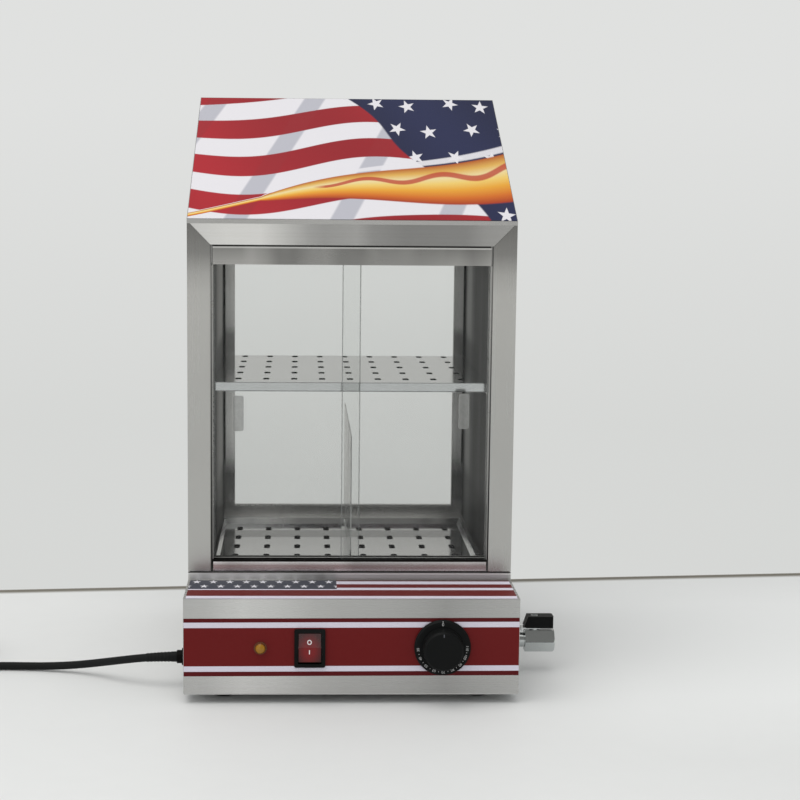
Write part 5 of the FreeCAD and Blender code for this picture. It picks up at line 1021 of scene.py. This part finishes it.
def makeRockerFinish():
    look = rockerFace
    finish = makePlastic("rockerRed", look.red, 0.2, bump=0.03, shine=0.6)
    x, y, z = finish.caseAxes()
    side, rise = x - look.x, z - look.ring
    reach = (side * side + rise * rise * 0.8).math("SQRT")
    ring = reach.between(look.size * look.inner, look.size, look.soft)
    width, height = look.barHalf
    bar = side.between(-width, width, look.soft) * (z - look.bar).between(-height, height, look.soft)
    base = finish.mixed(finish.specks(40.0, 2.0), look.low, look.high)
    dome = distance(side, (z - look.middle) * 0.75).above(*look.dome)
    base = finish.mixed(dome * look.domeShare, base, look.dark)
    finish.paint(ring.math("MAXIMUM", bar) * y.below(look.outside), base, look.print)
    return finish.material


# white print on the dial's skirt
dialPrint = Look(
    x=75.5, z=49.1, face=-4.82, ring=20.35, numbers=range(30, 111, 10), first=184, step=22, height=3.1, thick=0.03,
    dash=(0.35, 1), top=90, zero=(1.25, 20), dot=(0.45, 22.4)
)


def onDial(angle, reach, depth=0.0):
    look = dialPrint
    turn = math.radians(angle)
    spot = place(look.x + reach * math.cos(turn), look.face - depth, look.z + reach * math.sin(turn))
    upright = Matrix.Rotation(math.pi / 2, 4, "X")
    return Matrix.Translation(spot) @ Matrix.Rotation(math.pi / 2 - turn, 4, "Y") @ upright


def addWord(work, word, height, matrix):
    curve = bpy.data.curves.new("dialWord", "FONT")
    curve.body = word
    curve.size = height * mm
    curve.extrude = dialPrint.thick * mm
    curve.align_x = "CENTER"
    curve.align_y = "CENTER"
    mesh = curveMesh(curve)
    mesh.transform(matrix)
    takeMesh(work, mesh)


def makeDialPrint():
    look = dialPrint
    work = bmesh.new()
    thick = 2 * look.thick
    for index, number in enumerate(look.numbers):
        angle = look.first + index * look.step
        addWord(work, str(number), look.height, onDial(angle, look.ring))
        if index:
            addBar(work, (*look.dash, thick), onDial(angle - look.step / 2, look.ring))
    larger, reach = look.zero
    addWord(work, "0", look.height * larger, onDial(look.top, reach))
    radius, reach = look.dot
    bmesh.ops.create_cone(work, cap_ends=True, segments=20, radius1=radius * mm, radius2=radius * mm,
                          depth=thick * mm, matrix=onDial(look.top, reach))
    addMesh("dialNumbers", work, numeralWhite, "knob")


# the dim mark on the grip that points to the scale
capPrint = Look(face=-17, mark=13.6, size=(0.7, 2.6, 0.1), bevel=0.03)


def makePointer():
    work = bmesh.new()
    depth = dialPrint.face - capPrint.face
    addBar(work, capPrint.size, onDial(dialPrint.top, capPrint.mark, depth), capPrint.bevel)
    addMesh("gripMark", work, dimPrint, "knob")


# domed cross-recess heads of the back cover's screws; each ring is its rise and its share of the radius
screwHeads = Look(
    x=(-128, 128), z=(119.2, 238.65, 358.1), back=328, radius=3.5, rings=[(-0.4, 1), (0, 1), (0.22, 0.88),
    (0.4, 0.66), (0.48, 0.4), (0.5, 0.12)], recess=(3.8, 0.12, 0.75), recessPlace=0.49, spin=0.7
)


def makeScrewHeads():
    heads, slots = bmesh.new(), bmesh.new()
    shape = screwHeads
    way = Vector((0, 1, 0))
    for number, (x, z) in enumerate((x, z) for x in shape.x for z in shape.z):
        addRings(heads, [(place(x, shape.back + rise, z), way, shape.radius * share * mm)
                         for rise, share in shape.rings])
        for turn in (0, math.pi / 2):
            spin = Matrix.Rotation(turn + number * shape.spin, 4, "Y")
            spot = place(x, shape.back + shape.recessPlace, z)
            addBar(slots, shape.recess, Matrix.Translation(spot) @ spin)
    addMesh("backScrewHeads", heads, screwSteel, "cabinet", True)
    addMesh("backScrewSlots", slots, blackSatin, "cabinet")


makeDialPrint()
makePointer()
makeScrewHeads()
print("stage: dial print and screw heads")

# amber lens with small facets, painted shadow in a ring round it and a faint painted glow
lensLook = Look(
    x=-76, z=48.2, ring=(3.9, 0.35), facet=4.2, dark=(0.22, 0.095, 0.004), light=(0.35, 0.175, 0.008),
    rim=(0.1, 0.028, 0.008), glow=0.06
)


def makeLens():
    look = lensLook
    finish = Finish("amberLens", Roughness=0.22, Specular_IOR_Level=0.4)
    x, y, z = finish.caseAxes()
    facet = (x * look.facet).sine() * (z * look.facet).sine() * 0.5 + 0.5
    cloud = finish.specks(220.0, 2.0)
    ring = distance(x - look.x, z - look.z).above(*look.ring)
    color = finish.mixed(facet * 0.5 + cloud * 0.5, look.dark, look.light)
    color = finish.mixed(ring, color, look.rim)
    finish.set(Base_Color=color, Emission_Color=color, Emission_Strength=look.glow)
    finish.bump(facet, 0.3, 0.0003)
    return finish.material


def makeFrosted():
    finish = Finish("frostedPlate", Roughness=0.5)
    cloud = finish.specks(300.0, 3.0)
    finish.paint(cloud, (0.25, 0.255, 0.245), (0.31, 0.315, 0.305))
    finish.bump(cloud, 0.2, 0.0002)
    finish.layer(cloud * 0.15 + 0.53, finish.clear(), finish.whole())
    return finish.material


sheets = {
    "casingSteel": ["base_casing"],
    "railSteel": ["front_top_rail"],
    "postSteel": ["front_posts"],
    "sideSteel": ["side_panels", "rear_cover"],
    "plinthSteel": ["plinth"],
    "trackSteel": ["lower_door_track"],
    "roofSteel": ["roof_sheet"],
    "hiddenSteel": ["cabinet_floor", "bottom_plate", "ceiling_panel", "water_tank", "shelf_ledges"],
    "rearSteel": ["rear_frame"],
    "leftLiner": ["liner_walls"],
    "shelfSteel": ["shelf"],
    "traySteel": ["bottom_tray"],
    "dividerSteel": ["divider"],
}
dressing = [(steels[name].material, names) for name, names in sheets.items()] + [
    (makeTrackAluminium(), ["upper_door_track"]),
    (makeJambAluminium(), ["door_jambs"]),
    (makeGlass("leftDoorGlass", 0.012, 0.012, (-117.6, 7.6)), ["left_door_glass"]),
    (makeGlass("rightDoorGlass", 0.012, 0.012, (-7.6, 117.6)), ["right_door_glass"]),
    (makeGlass("rearGlass", 0.02, 0.09), ["rear_glass"]),
    (makeFrosted(), ["left_door_plate", "right_door_plate"]),
    (makeRunner(), ["door_runner"]),
    (blackSatin, ["lamp_body", "gland_nut", "cable_gland"]),
    (footRubber, ["rubber_feet"]),
    (sealRubber, ["seals"]),
    (screwSteel, ["feet_screws", "panel_screws", "thermostat_screws"]),
    (dullSteel, ["heating_element", "thermostat_bulb", "thermostat_spindle", "thermal_cutout"]),
    (platedBrass, ["valve_body", "valve_outlet", "valve_ball", "valve_stem", "valve_stop_plate", "lever_nut",
                   "drain_locknut", "element_nuts"]),
    (blackGloss, ["valve_lever", "knob_skirt", "knob_cap", "switch_housing"]),
    (makeRockerFinish(), ["switch_rocker"]),
    (makeLens(), ["lamp_lens"]),
    (ivoryPlastic, ["terminal_block", "thermostat_body"]),
    (redWire, ["wiring"]),
    (makeRoofPrint(), ["roof_decal"]),
    (makeBasePrint(), ["base_decals"]),
    (cordRubber, ["power_cord", "cord_coil", "power_plug"]),
]
for material, names in dressing:
    for name in names:
        mesh = nodes[name].data
        if mesh.materials:
            for index in range(len(mesh.materials)):
                mesh.materials[index] = material
        else:
            mesh.materials.append(material)
print("stage: materials on the nodes")
